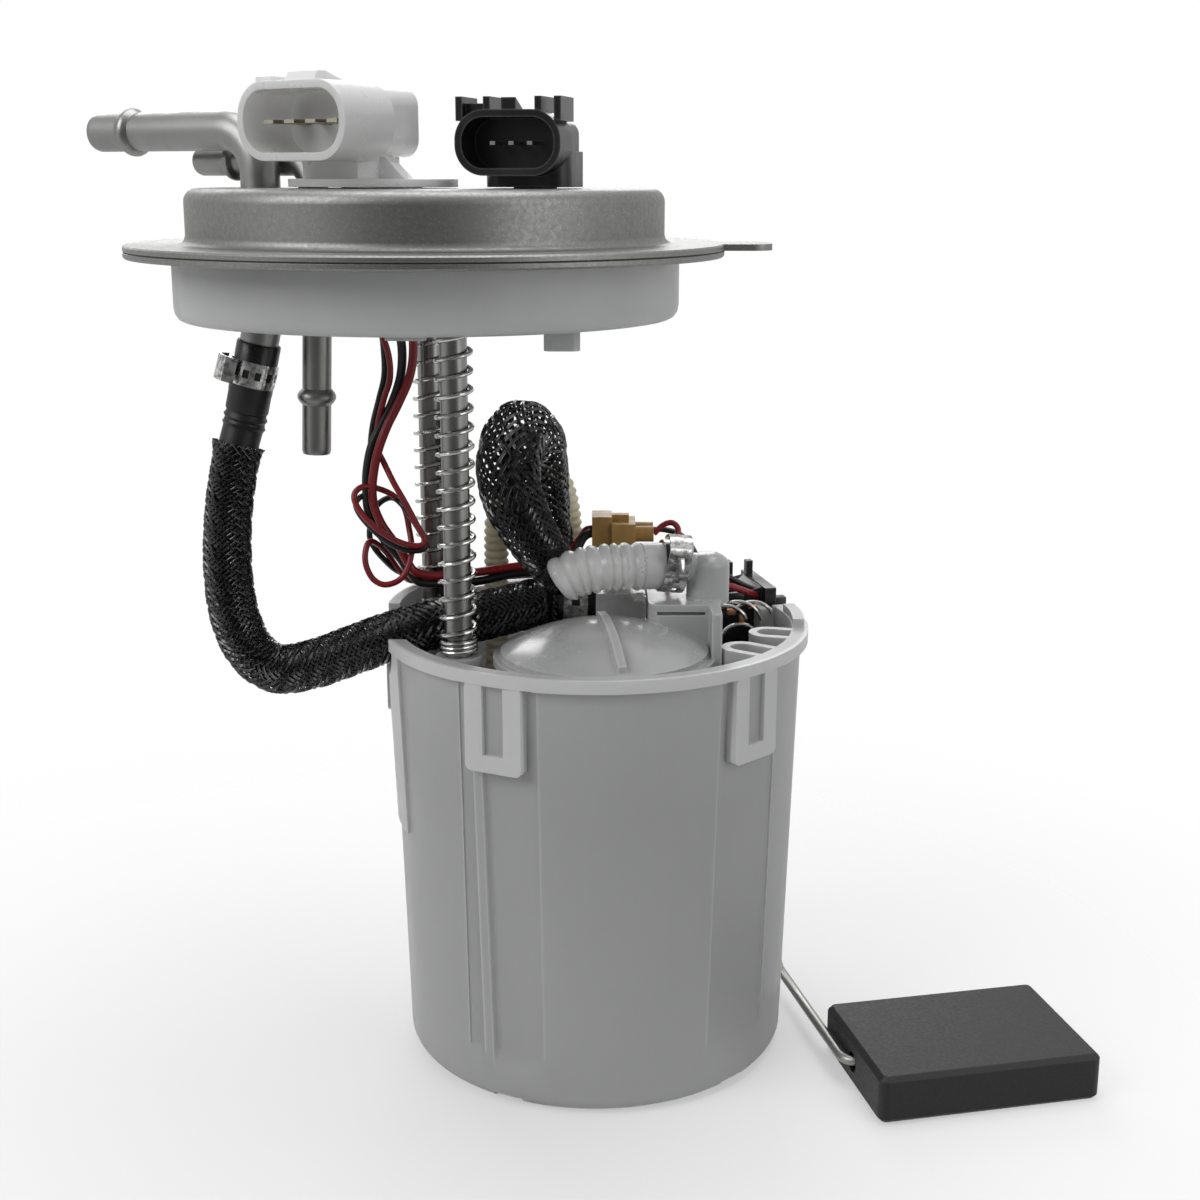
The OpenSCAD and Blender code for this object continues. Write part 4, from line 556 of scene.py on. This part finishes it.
def ear_clamp(name, at, direction, r, spin, body, node, width=6.0, gaps=(0.16, 0.84), ear_h=2.75):
    """A stainless band with square windows and a pinched ear."""
    bm = bmesh.new()
    cols, rows = 72, 6
    bmesh.ops.create_grid(bm, x_segments=cols, y_segments=rows, size=0.5)
    for v in bm.verts:
        a, z = (v.co.x + 0.5) * TAU, (v.co.y + 0.5) * width
        v.co = (r * MM * math.cos(a), r * MM * math.sin(a), z * MM)
    bmesh.ops.remove_doubles(bm, verts=bm.verts, dist=1e-6)
    out = []
    for f in bm.faces:
        c = f.calc_center_median()
        a = (math.atan2(c.y, c.x) / TAU) % 1
        z = c.z / MM / width
        if gaps[0] < a < gaps[1] and 0.3 < z < 0.7 and int(a * 24) % 2 == 0:
            out.append(f)
    bmesh.ops.delete(bm, geom=out, context="FACES")
    bmesh.ops.recalc_face_normals(bm, faces=bm.faces)
    bmesh.ops.solidify(bm, geom=bm.faces[:] + bm.edges[:] + bm.verts[:], thickness=0.4 * MM)
    ear = [(r - 0.1, -3.3), (r + 0.36 * ear_h, -3), (r + 0.8 * ear_h, -2.2), (r + ear_h, -0.9),
           (r + ear_h, 0.9), (r + 0.8 * ear_h, 2.2), (r + 0.36 * ear_h, 3), (r - 0.1, 3.3)]
    strip = [bm.verts.new((x * MM, y * MM, 0)) for x, y in ear]
    line = [bm.edges.new(pair) for pair in zip(strip, strip[1:])]
    up = bmesh.ops.extrude_edge_only(bm, edges=line)["geom"]
    raised = [g for g in up if isinstance(g, bmesh.types.BMVert)]
    bmesh.ops.translate(bm, vec=(0, 0, width * MM), verts=raised)
    faces = list({f for v in strip for f in v.link_faces})
    bmesh.ops.solidify(bm, geom=faces, thickness=0.6 * MM)
    lock_turn = 0.6
    centre = (r * math.cos(lock_turn), r * math.sin(lock_turn), width / 2)
    block(bm, (4.6, 3.6, width * 0.34), centre, bevel=0.2, turn=lock_turn)
    bmesh.ops.transform(bm, matrix=placed(at, direction, spin), verts=bm.verts)
    obj = finish_mesh(name, bm, "clamp", 30)
    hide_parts(node)
    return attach(obj, body)


# Tubes through the cover

def steel_tube(name, points, bend, r, wall, bead_at, foot_bead, node):
    """An open-ended tube with a bead before its outer end and, where foot_bead isn't 0, one by its foot."""
    path = filleted(points, bend, 0.8)
    n = len(path)
    depth = 14
    inner_end = list(range(n - 1, n - 1 - depth, -1))
    inner_start = list(range(depth - 1, -1, -1))
    order = inner_start + list(range(n)) + inner_end
    radii = [r - wall] * depth + [r] * n + [r - wall] * depth
    radii[depth] = radii[depth + n - 1] = r - 0.25
    run = np.r_[0, np.cumsum(np.linalg.norm(np.diff(path, axis=0), axis=1))]
    for at in [run[-1] - bead_at] + ([foot_bead] if foot_bead else []):
        for i, s in enumerate(run):
            if abs(s - at) < 1.5:
                radii[depth + i] = r + 1.2 * math.sqrt(max(1 - ((s - at) / 1.5) ** 2, 0))
    obj = tube(name, path, np.array(radii), 40, "tube", order=order)
    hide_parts(node)
    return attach(obj, "cover")


def steel_tubes():
    outlet = [TUBE_FOOT, TUBE_KNEE, (-39.5, 4, 28.5), (-84.5, 33, 28.5)]
    vapour = [(-29.1, 6, -48), (-27.5, 6, -10), (-27.5, 6, 21.6), (-58, 26.6, 21.6)]
    steel_tube("outlet_tube_bent", outlet, 10, 4.65, 1, 12.5, 0, "outlet_tube")
    steel_tube("vapour_tube_bent", vapour, 6, 3.5, 1, 12, 14, "vapour_tube")


# Springs

def coil_spring(name, x, y, node):
    """A spring round a rod, with closed coils at both ends."""
    z0, z1, wire, r = -91.95, -6.05, 0.55, 4.05
    foot_turns, turns, head_turns, steps = 3.4, 18.6, 0.9, 36
    lay = 2.02 * wire
    open_rise = (z1 - z0 - 2 * wire - (foot_turns + head_turns) * lay) / turns
    path = []
    total = foot_turns + turns + head_turns
    for i in range(int(total * steps) + 1):
        t = i / steps
        z = z0 + wire + lay * min(t, foot_turns)
        z += open_rise * min(max(t - foot_turns, 0), turns)
        z += lay * max(t - foot_turns - turns, 0)
        path.append((x + r * math.cos(TAU * t), y + r * math.sin(TAU * t), z))
    path = np.array(path)
    obj = tube(name, path, wire, 10, "spring")
    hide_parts(node)
    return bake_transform(obj)


def check_spring():
    """A smooth-shaded copy of the outlet valve's spring, which on the valve is squeezed as its poppet lifts.
    """
    bm = bmesh.new()
    bm.from_mesh(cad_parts["check_spring"].data)
    bmesh.ops.remove_doubles(bm, verts=bm.verts, dist=1e-6)
    obj = finish_mesh("check_spring_coil", bm, "spring")
    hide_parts("check_spring")
    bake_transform(obj)


# Braided hoses

def braid(path, radius, carriers, angle_deg, wires, wire_r, lift, loose=None):
    """Meshes of the crossing strands round a path; radius may change along it."""
    tan, u, v = frames_along(path)
    run = np.r_[0, np.cumsum(np.linalg.norm(np.diff(path, axis=0), axis=1))]
    r = np.broadcast_to(radius, (len(path),)).astype(float)
    twist = np.cumsum(np.r_[0, np.diff(run) * math.tan(math.radians(angle_deg)) / ((r[1:] + r[:-1]) / 2)])
    made = []
    for way in (1, -1):
        for c in range(carriers):
            base = TAU * c / carriers
            for w in range(wires):
                shift = (w - (wires - 1) / 2) * 2.05 * wire_r
                a = base + way * twist + shift / r
                weave = np.sin(carriers * twist / 2 + (0 if way > 0 else math.pi / 2) + c * math.pi / 2)
                rr = r + way * lift * np.sign(weave) * np.minimum(np.abs(weave) * 1.6, 1)
                if loose is not None:
                    rr = rr + loose(c, w, way, run)
                line = path + (rr * np.cos(a))[:, None] * u + (rr * np.sin(a))[:, None] * v
                out = np.cos(a)[:, None] * u + np.sin(a)[:, None] * v
                made.append(tube_mesh(line, wire_r, 4, capped=False, side=out))
    return made


SUPPLY = [(-45.35, 4, -37.4), (-46.3, 4, -41), (-48, 3, -47.4), (-50.1, 2, -58.6), (-51, 1, -68.4),
          (-51, 0, -78), (-49.4, -2, -87.6), (-45.6, -3.5, -95.6), (-39, -5, -99.8), (-29.6, -6, -98.2),
          (-19.6, -7.6, -94.2), (-10.4, -9.4, -90.4), (0, -9.4, -87.4), (10, -6, -86.4), (19, 0.6, -85.8),
          (24.4, 5, -85.4), (27.4, 6, -85.2), (29.9, 6, -85.2)]


def supply_hose():
    step = 0.7
    path = curve_through(SUPPLY, step)
    n = len(path)
    run = np.linspace(0, 1, n) * (n - 1) * step
    core = np.full(n, 4.85)
    for at in (1.4, 3.4):
        core += 0.5 * np.exp(-((run - at) / 0.5) ** 2)
    rubber = tube("supply_hose_core", path, core, 40, "rubber")
    first = int(8.4 / step)
    sleeve = path[first:]
    s = np.arange(len(sleeve)) * step
    r = 5.35 + 0.45 * np.clip(s / 45, 0, 1) + 0.3 * np.exp(-s / 2.5)

    def frayed(c, w, way, along):
        pick = ((c * 7 + w * 3 + (0 if way > 0 else 5)) % 11) / 11
        return np.exp(-along / (0.7 + pick)) * (pick - 0.25) * 1.1

    meshes = braid(sleeve, r, 20, 50, 2, 0.21, 0.17, loose=frayed)
    strands = gathered("supply_hose_braid", meshes, "thread", 60)
    for obj in (rubber, strands):
        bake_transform(obj)
    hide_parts("supply_hose")
    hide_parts("supply_hose")


def loop_hose():
    c, s = math.cos(math.radians(5)), math.sin(math.radians(5))
    start = (60 - 29.2 * c, -8, -72.8 - 29.2 * s)
    path = curve_through([start, (29.4, -6.6, -73.2), (26.6, -6, -70.2), (22.6, -5.6, -63.6), (19.2, -5, -56),
                          (18.4, -2.4, -49.4), (19.4, 2.4, -44.6), (21.4, 7.4, -43), (24, 12, -46.4),
                          (25, 15, -55), (26.2, 17, -66), (28.4, 18.5, -76), (29, 18.5, -85.8)], 0.6)
    n = len(path)
    t = np.linspace(0, 1, n)
    r = 4.7 + 3.1 * np.sin(math.pi * np.clip((t - 0.02) * 1.12, 0, 1)) ** 0.7
    r[t > 0.93] = 5.2
    meshes = braid(path, r, 22, 42, 2, 0.23, 0.15)
    obj = gathered("loop_hose_braid", meshes, "thread", 60)
    inner = tube("loop_hose_core", path, 2.1, 20, "rubber")
    for o, k in ((obj, "hose_braid"), (inner, "hose_rubber")):
        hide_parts("loop_hose")
        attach(o, "reservoir")


def hose_ends():
    profile = [(4.7, 0), (5.1, 0), (5.3, 0.4), (5.3, 12), (5.2, 12.6), (5.2, 16.6), (5.0, 17), (4.7, 17)]
    cuff = turned("upper_cuff_rubber", profile, "rubber", placed(TUBE_FOOT - 17 * TUBE_DOWN, TUBE_DOWN))
    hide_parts("upper_cuff")
    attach(cuff, "cover")
    lean = TUBE_DOWN + np.array([-0.05, 0, 0])
    ear_clamp("upper_clamp_band", TUBE_FOOT - 12.6 * TUBE_DOWN, lean, 5.75, UPPER_EAR, "cover",
              "upper_clamp", gaps=(0, 1), ear_h=2.7)
    small = [(4.4, 0), (4.9, 0), (5.1, 0.4), (5.1, 9.2), (4.9, 9.7), (4.4, 9.7)]
    cuff = turned("lower_cuff_rubber", small, "rubber", placed((29.9, 6, -85.2), (1, 0, 0)))
    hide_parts("lower_cuff")
    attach(cuff, "reservoir")
    ear_clamp("lower_clamp_band", (31.2, 6, -85.2), (1, 0.05, -0.05), 5.8, LOWER_EAR, "reservoir",
              "lower_clamp")
    ear_clamp("loop_clamp_band", (54.9, -9.2, -72.7), (1, 0.2, -0.12), 6.3, LOOP_EAR, "reservoir",
              "loop_clamp", width=5.6, gaps=(0, 1), ear_h=3.2)


def ribbed_radius(run, low, high, pitch, start, end):
    """The radius of a tube that is ribbed from start to end and plain beyond."""
    wave = np.sqrt(0.5 - 0.5 * np.cos(TAU * (run - start) / pitch))
    r = low + (high - low) * wave
    r[(run < start) | (run > end)] = high - 0.25
    return r


def corrugated_tube():
    step = 0.25
    path = curve_through([(30.6, -12.4, -76.3), (32.6, -12.5, -74.9), (35.6, -12.5, -73.6),
                          (39.4, -12.2, -72.9), (43.6, -11.6, -72.6), (49, -10.6, -72.6),
                          (54.4, -9.2, -72.8), (60, -8, -72.8)], step)
    run = np.arange(len(path)) * step
    r = ribbed_radius(run + 0.3 * np.sin(run * 0.9), 5.05, 5.85, 2.5, 0.6, 20.6)
    r[:3] = [4.6, 5.0, 5.3]
    order = [8, 4, 0] + list(range(len(path)))
    obj = tube("corrugated_tube_bent", path, np.r_[[4.2, 4.2, 4.3], r], 48, "milky", order=order)
    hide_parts("corrugated_tube")
    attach(obj, "reservoir")


def feed_hose():
    step = 0.25
    path = curve_through([(13.5, 26, -178.9), (13.5, 26, -120), (13.5, 26, -78), (14.2, 26, -67),
                          (18, 26, -57), (24, 27.4, -54), (29.6, 28.2, -58), (32.4, 28.6, -68),
                          (32.8, 28.6, -84.9)], step)
    run = np.arange(len(path)) * step
    r = ribbed_radius(run, 2.65, 3.25, 2.0, 0.4, run[-1] - 1)
    obj = tube("feed_hose_ribbed", path, r, 20, "beige")
    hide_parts("feed_hose")
    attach(obj, "reservoir")


# Wires

WIRES = {
    "harness_red": (1.1, "red", [(-5, 2, -6.6), (-4.9, 2.6, -14), (-4.5, 4, -22), (-5.6, 4, -29),
        (-8.4, 3, -35.4), (-11.1, 2, -40.7), (-13.3, 1.5, -46.3), (-14.5, 1.5, -51.2), (-15.2, 2, -56.2),
        (-15, 3, -60.6), (-13.6, 4, -64.9), (-11.5, 4.6, -68.5), (-9.2, 4.8, -71.6), (-7.4, 4.8, -75),
        (-5.4, 4.8, -77.6), (-1, 5, -78.6), (4, 5.4, -78.4), (10, 6.6, -78), (19, 9, -77.2),
        (26, 9.6, -76.4), (32, 11.4, -75), (35.4, 15, -71.6), (37, 17, -69.6), (38.45, 17, -69.2)]),
    "harness_black": (1.1, "wire", [(-8.6, 2, -6.6), (-8.4, 3, -14), (-7.4, 5, -22), (-8, 6, -29),
        (-10.2, 6, -35.4), (-12.6, 5, -40.3), (-15.3, 4, -45.9), (-16.6, 4, -51.6), (-16.9, 4, -56.6),
        (-16.8, 5, -61.8), (-15.2, 6, -66.2), (-12.7, 6.6, -70.6), (-9.6, 6.8, -74.3), (-7.3, 6.8, -77.9),
        (-4.4, 6.6, -80.6), (2, 6, -80.8), (10, 7, -80.4), (19, 9, -79), (27, 9.8, -78.6), (33, 10.6, -76),
        (36.2, 12.4, -70.6), (38.45, 13, -69.2)]),
    "sender_wire_red": (0.75, "red", [(-14.4, 2, -6.6), (-14.2, 3.4, -14), (-11, 4.6, -22), (-10.4, 5, -29),
        (-12.1, 5, -34.6), (-13.8, 5, -41.1), (-14.1, 4, -45.9), (-12.3, 3, -49.8), (-9.7, 1, -54.6),
        (-7.1, 0, -59), (-4.5, 0, -64.2), (-2.6, 0.2, -68.2), (-3.7, -0.2, -69.8), (-7.6, -1, -69.1),
        (-12.3, -2, -66.4), (-16.2, -2, -62.9), (-18.8, -1, -59.5), (-19.3, 0, -57), (-17.4, 1, -55.4),
        (-14.2, 3, -56.1), (-10.6, 5.4, -58.3), (-8.1, 7, -61.8), (-6.9, 6, -66.8), (-6.1, 3, -72.3),
        (-8.1, 1, -77.8), (-12, 0, -79.7), (-15.2, 0, -78.5), (-17, 0, -75), (-17.2, 1, -71.5),
        (-16.1, 3, -69.4), (-13.4, 8.6, -73), (-10.4, 12.6, -79), (-8.4, 18.2, -82.9),
        (-3.6, 20.9, -83.4), (-0.6, 22.6, -84.8), (5, 26, -85.2), (13.5, 31.4, -85.2), (24, 33.6, -85),
        (34, 34.6, -84.6), (50, 35, -84.2), (62, 33.6, -84), (70.3, 32, -83.9)]),
    "sender_wire_black": (0.75, "wire", [(-11.6, 2, -6.6), (-12.4, 4, -14), (-12, 6.4, -22), (-12.2, 8, -29),
        (-13.7, 8, -35), (-15.3, 7, -41.4), (-16, 7, -48), (-15.3, 7, -54.6), (-16.1, 5, -58),
        (-18.3, 4, -58.4), (-19.5, 3, -60.2), (-17.7, 3, -63.9), (-12.8, 2, -68.6), (-7.9, 1, -71),
        (-3.6, 1.4, -71.2), (-2.5, 2.2, -69.4), (-4.6, 3, -65.6), (-7.9, 4, -60.8), (-11.2, 7, -59.2),
        (-15, 8.6, -61.5), (-16.7, 7.6, -66.4), (-16.6, 7.2, -70.4), (-14, 9, -75), (-10.4, 13.4, -79.6),
        (-6.2, 19, -81.2), (-1, 22.2, -82.2), (6, 26, -83.2), (14.5, 31.6, -83.2), (24, 33.4, -83),
        (34, 34.2, -82.6), (50, 34.4, -82.2), (62, 33, -82), (70.3, 32, -82.1)]),
}


def wires():
    for node, (r, kind, points) in WIRES.items():
        obj = tube(node + "_smooth", curve_through(points, 0.6), r, 14, kind)
        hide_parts(node)
        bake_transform(obj)
    leads = {"motor_lead_red": ("red", [(54.1, 12.4, -69.4), (56.4, 12.6, -67.2), (58.8, 12.6, -66.6),
                                        (60.2, 11.4, -68.4), (58.6, 9, -72), (57, 6, -79.7)]),
             "motor_lead_black": ("wire", [(54.1, 17.6, -69.4), (57, 17.6, -69.4), (61, 17, -70.6),
                                           (64, 13, -73.4), (65.4, 9.6, -77), (65, 7, -79.7)])}
    for node, (kind, points) in leads.items():
        obj = tube(node + "_smooth", curve_through(points, 0.5), 0.75, 12, kind)
        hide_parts(node)
        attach(obj, "reservoir")


# Small metal and black pieces by the sender

def sender_bits():
    """Contact strips, the wire holder and its two leads, which the housing carries beside the cap."""
    leads = (
        ("sender_lead_black", "wire", 0.75,
         [(66.6, 13.6, -79.4), (69.6, 14.6, -79.6), (73.4, 17.4, -81.6), (77, 20.4, -84.2),
          (82, 24, -87.2), (87, 27.6, -90.2)]),
        ("sender_lead_red", "red", 0.9,
         [(67.6, 12.6, -81.6), (71, 14, -82.6), (75.6, 17, -84.6), (80, 20.6, -87),
          (84, 24.6, -89.8), (86.8, 27, -91.4)]))
    for name, kind, r, points in leads:
        obj = tube(name, curve_through(points, 0.5), r, 12, kind)
        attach(obj, "reservoir")
    for name, kind, slot, pieces in (
            ("sender_holder", "black", "sensor_plastic",
             [((5.6, 3, 4.4), (86.4, 25.4, -91)), ((3.2, 2, 1.6), (83.6, 24.6, -88.6)),
              ((1.4, 2.4, 6), (84.9, 24, -94.8)), ((14, 1.6, 11.5), (79, 19.6, -94.2)),
              ((5, 1.6, 3), (75.2, 18.6, -87.6))]),
            ("sender_rivets", "copper", "winding_copper",
             [((2.2, 1, 1.6), (74, 12, -89.6)), ((1.4, 1, 3.2), (76.8, 13, -92)),
              ((2.4, 1, 1), (79.6, 14, -88.8))])):
        bm = bmesh.new()
        for size, centre in pieces:
            block(bm, size, centre, bevel=0.25, turn=0.2)
        obj = finish_mesh(name, bm, kind, 30)
        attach(obj, "reservoir")
    strips = []
    for x, z, w, h in ((72.4, -92.4, 5.5, 4.6), (75.6, -93.4, 6.4, 6.4), (79.6, -91.4, 5, 4),
                       (76.4, -96.4, 4.4, 3.4)):
        y = 11 + 0.35 * (x - 72)
        arc = [(x + w * math.cos(a), y, z + h * math.sin(a)) for a in np.linspace(2.9, 0.25, 14)]
        strips.append(tube_mesh(np.array(arc), 0.5, 8))
    obj = gathered("sender_strips", strips, "bright", 30)
    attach(obj, "reservoir")


def cap_clip():
    """A small spring clip pressed on the front of the hose tower."""
    bm = bmesh.new()
    block(bm, (2.6, 0.7, 2.4), (49.8, -8.9, -80.6), bevel=0.2)
    block(bm, (1.1, 1.2, 1.0), (48.6, -9.3, -79.9), bevel=0.2)
    block(bm, (0.9, 1.4, 1.9), (51.2, -9.2, -81.2), bevel=0.2)
    obj = finish_mesh("cap_clip", bm, "bright", 30)
    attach(obj, "reservoir")


# Float arm

def sender_point(x, y, z):
    """A point in mm from the bucket's axis, turned with the sender's housing."""
    c, s = math.cos(HOUSING_TURN), math.sin(HOUSING_TURN)
    return (BUCKET_X / MM + x * c - y * s, x * s + y * c, z)


def float_arm():
    hub = np.array([52.4, 20, -135.0])
    knee = np.array([52.4, 8.2, -191.0])
    down = (knee - hub) / np.linalg.norm(knee - hub)
    points = [sender_point(*(hub + down * 2.9)), sender_point(*knee), sender_point(52.4, -45.8, -191),
              sender_point(67.4, -45.8, -191)]
    obj = tube("float_arm_wire", filleted(points, 4, 0.6), 1.25, 20, "arm")
    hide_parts("float_arm")
    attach(obj, "float_arm")


# Mouldings with rounded edges

def low_hook(co):
    """The housing's hook lies flat on the lip, under its posts."""
    across = (co.x - BUCKET_X) * math.cos(HOUSING_TURN) + co.y * math.sin(HOUSING_TURN)
    if across < HOOK_REACH and abs(co.z - HOOK_Z) < 0.0004:
        co.z = HOOK_LOW_Z


def low_elbow(co):
    """The hose port's elbow has a low round top."""
    if co.x > ELBOW_X and co.z > ELBOW_Z:
        co.z = ELBOW_Z + (co.z - ELBOW_Z) * ELBOW_SQUEEZE


def low_lug(co):
    """The right-hand lug barely stands above the lip."""
    way = math.degrees(math.atan2(co.y, co.x - BUCKET_X))
    if LUG_FROM < way < LUG_TO and co.z > LUG_Z:
        co.z = LUG_Z


SETTLED = {"sender_housing": low_hook, "reservoir": low_lug, "pump_cap": low_elbow}


def mouldings():
    for node, body, slot, offset in (
            ("connector_shell", "cover", "plug_nylon", 0.35),
            ("pressure_sensor", "cover", "sensor_plastic", 0.3),
            ("carrier", "cover", "carrier_nylon", 0.3),
            ("cover_plate", "cover", "cover_steel", 0.25),
            ("reservoir", "reservoir", "reservoir_nylon", 0.35),
            ("pump_cap", "reservoir", "reservoir_nylon", 0.35),
            ("sender_housing", "reservoir", "sensor_plastic", 0.25),
            ("motor_plug", "reservoir", "tan_plastic", 0.3),
            ("jet_pump", "reservoir", "sensor_plastic", 0.2),
            ("float", "float", "float_foam", 0.5)):
        obj = softened(node, offset, SETTLED.get(node))
        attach(obj, body)


# Studio

def studio():
    mat = bpy.data.materials.new("studio_floor")
    mat.use_nodes = True
    b = mat.node_tree.nodes["Principled BSDF"]
    b.inputs["Base Color"].default_value = (0.9, 0.9, 0.9, 1)
    b.inputs["Roughness"].default_value = 0.8
    tree = mat.node_tree
    at, flat = tree.nodes.new("ShaderNodeTexCoord"), tree.nodes.new("ShaderNodeVectorMath")
    flat.operation = "MULTIPLY"
    flat.inputs[1].default_value = (1, 1, 0)
    far, fade = tree.nodes.new("ShaderNodeVectorMath"), tree.nodes.new("ShaderNodeMapRange")
    far.operation = "LENGTH"
    fade.interpolation_type = "SMOOTHSTEP"
    fade.inputs["From Min"].default_value = 0.09
    fade.inputs["From Max"].default_value = 0.3
    fade.inputs["To Min"].default_value = 0.4
    clear, blend = tree.nodes.new("ShaderNodeBsdfTransparent"), tree.nodes.new("ShaderNodeMixShader")
    for a, b_in in ((at.outputs["Object"], flat.inputs[0]), (flat.outputs[0], far.inputs[0]),
                    (far.outputs["Value"], fade.inputs["Value"]), (fade.outputs[0], blend.inputs[0]),
                    (b.outputs[0], blend.inputs[1]), (clear.outputs[0], blend.inputs[2]),
                    (blend.outputs[0], tree.nodes["Material Output"].inputs["Surface"])):
        tree.links.new(a, b_in)
    bm = bmesh.new()
    bmesh.ops.create_circle(bm, cap_ends=True, radius=0.35, segments=64)
    bmesh.ops.translate(bm, vec=(0, 0, -0.1972), verts=bm.verts)
    mesh = bpy.data.meshes.new("floor")
    bm.to_mesh(mesh)
    bm.free()
    mesh.materials.append(mat)
    floor = bpy.data.objects.new("floor", mesh)
    bpy.context.scene.collection.objects.link(floor)

    world = bpy.data.worlds.new("studio_world")
    bpy.context.scene.world = world
    world.use_nodes = True
    tree = world.node_tree
    tree.nodes.clear()
    out = tree.nodes.new("ShaderNodeOutputWorld")
    path = tree.nodes.new("ShaderNodeLightPath")
    white = (1, 1, 1)
    layers = (((0.98, 0.985, 1), 0.24, None), (white, 0.72, "Is Glossy Ray"),
              (white, 1.0, "Is Transmission Ray"), (white, 1.0, "Is Camera Ray"))
    last = None
    for color, strength, ray in layers:
        back = tree.nodes.new("ShaderNodeBackground")
        back.inputs["Color"].default_value = (*color, 1)
        back.inputs["Strength"].default_value = strength
        if ray == "Is Glossy Ray":
            kinds = ("TexCoord", "SeparateXYZ", "MapRange")
            at, split, span = (tree.nodes.new("ShaderNode" + k) for k in kinds)
            span.interpolation_type = "SMOOTHSTEP"
            for k, v in (("From Min", -1), ("From Max", -0.3), ("To Min", 0.16), ("To Max", strength)):
                span.inputs[k].default_value = v
            tree.links.new(at.outputs["Generated"], split.inputs[0])
            tree.links.new(split.outputs["Y"], span.inputs["Value"])
            tree.links.new(span.outputs[0], back.inputs["Strength"])
        if ray is None:
            last = back.outputs[0]
            continue
        mix = tree.nodes.new("ShaderNodeMixShader")
        tree.links.new(path.outputs[ray], mix.inputs[0])
        tree.links.new(last, mix.inputs[1])
        tree.links.new(back.outputs[0], mix.inputs[2])
        last = mix.outputs[0]
    tree.links.new(last, out.inputs["Surface"])

    def lamp(name, at, aim, size, power):
        data = bpy.data.lights.new(name, "AREA")
        data.shape = "RECTANGLE"
        data.size, data.size_y = size
        data.energy = power
        obj = bpy.data.objects.new(name, data)
        obj.location = at
        obj.rotation_euler = (Vector(aim) - Vector(at)).to_track_quat("-Z", "Y").to_euler()
        bpy.context.scene.collection.objects.link(obj)

    lamp("key", (-0.8, -0.55, 0.6), (0.02, 0, -0.08), (0.7, 0.7), 5.2)
    lamp("fill", (0.85, -0.6, 0.25), (0.02, 0, -0.08), (0.6, 0.9), 2.2)
    lamp("top", (0.05, 0.15, 0.95), (0.02, 0, -0.05), (0.9, 0.7), 6)
    lamp("back", (-0.2, 0.9, 0.4), (0.02, 0, -0.08), (0.9, 0.5), 4)

    cam = bpy.data.cameras.new("camera")
    cam.lens = 51.19
    cam.sensor_width = 36
    cam.clip_start = 0.01
    obj = bpy.data.objects.new("camera", cam)
    yaw, pitch, roll = math.radians(0.14), math.radians(13.97), math.radians(-0.08)
    look = Vector((math.sin(yaw) * math.cos(pitch), math.cos(yaw) * math.cos(pitch), -math.sin(pitch)))
    obj.location = (0.0395, -0.4094, 0.0183)
    turn = look.to_track_quat("-Z", "Y") @ Matrix.Rotation(-roll, 4, "Z").to_quaternion()
    obj.rotation_euler = turn.to_euler()
    bpy.context.scene.collection.objects.link(obj)
    bpy.context.scene.camera = obj
    bpy.context.scene.view_settings.view_transform = "Standard"


steel_tubes()
coil_spring("front_spring_coil", 7, -20, "front_spring")
coil_spring("rear_spring_coil", -1.5, 14, "rear_spring")
check_spring()
supply_hose()
loop_hose()
hose_ends()
corrugated_tube()
feed_hose()
wires()
sender_bits()
cap_clip()
float_arm()
mouldings()
studio()
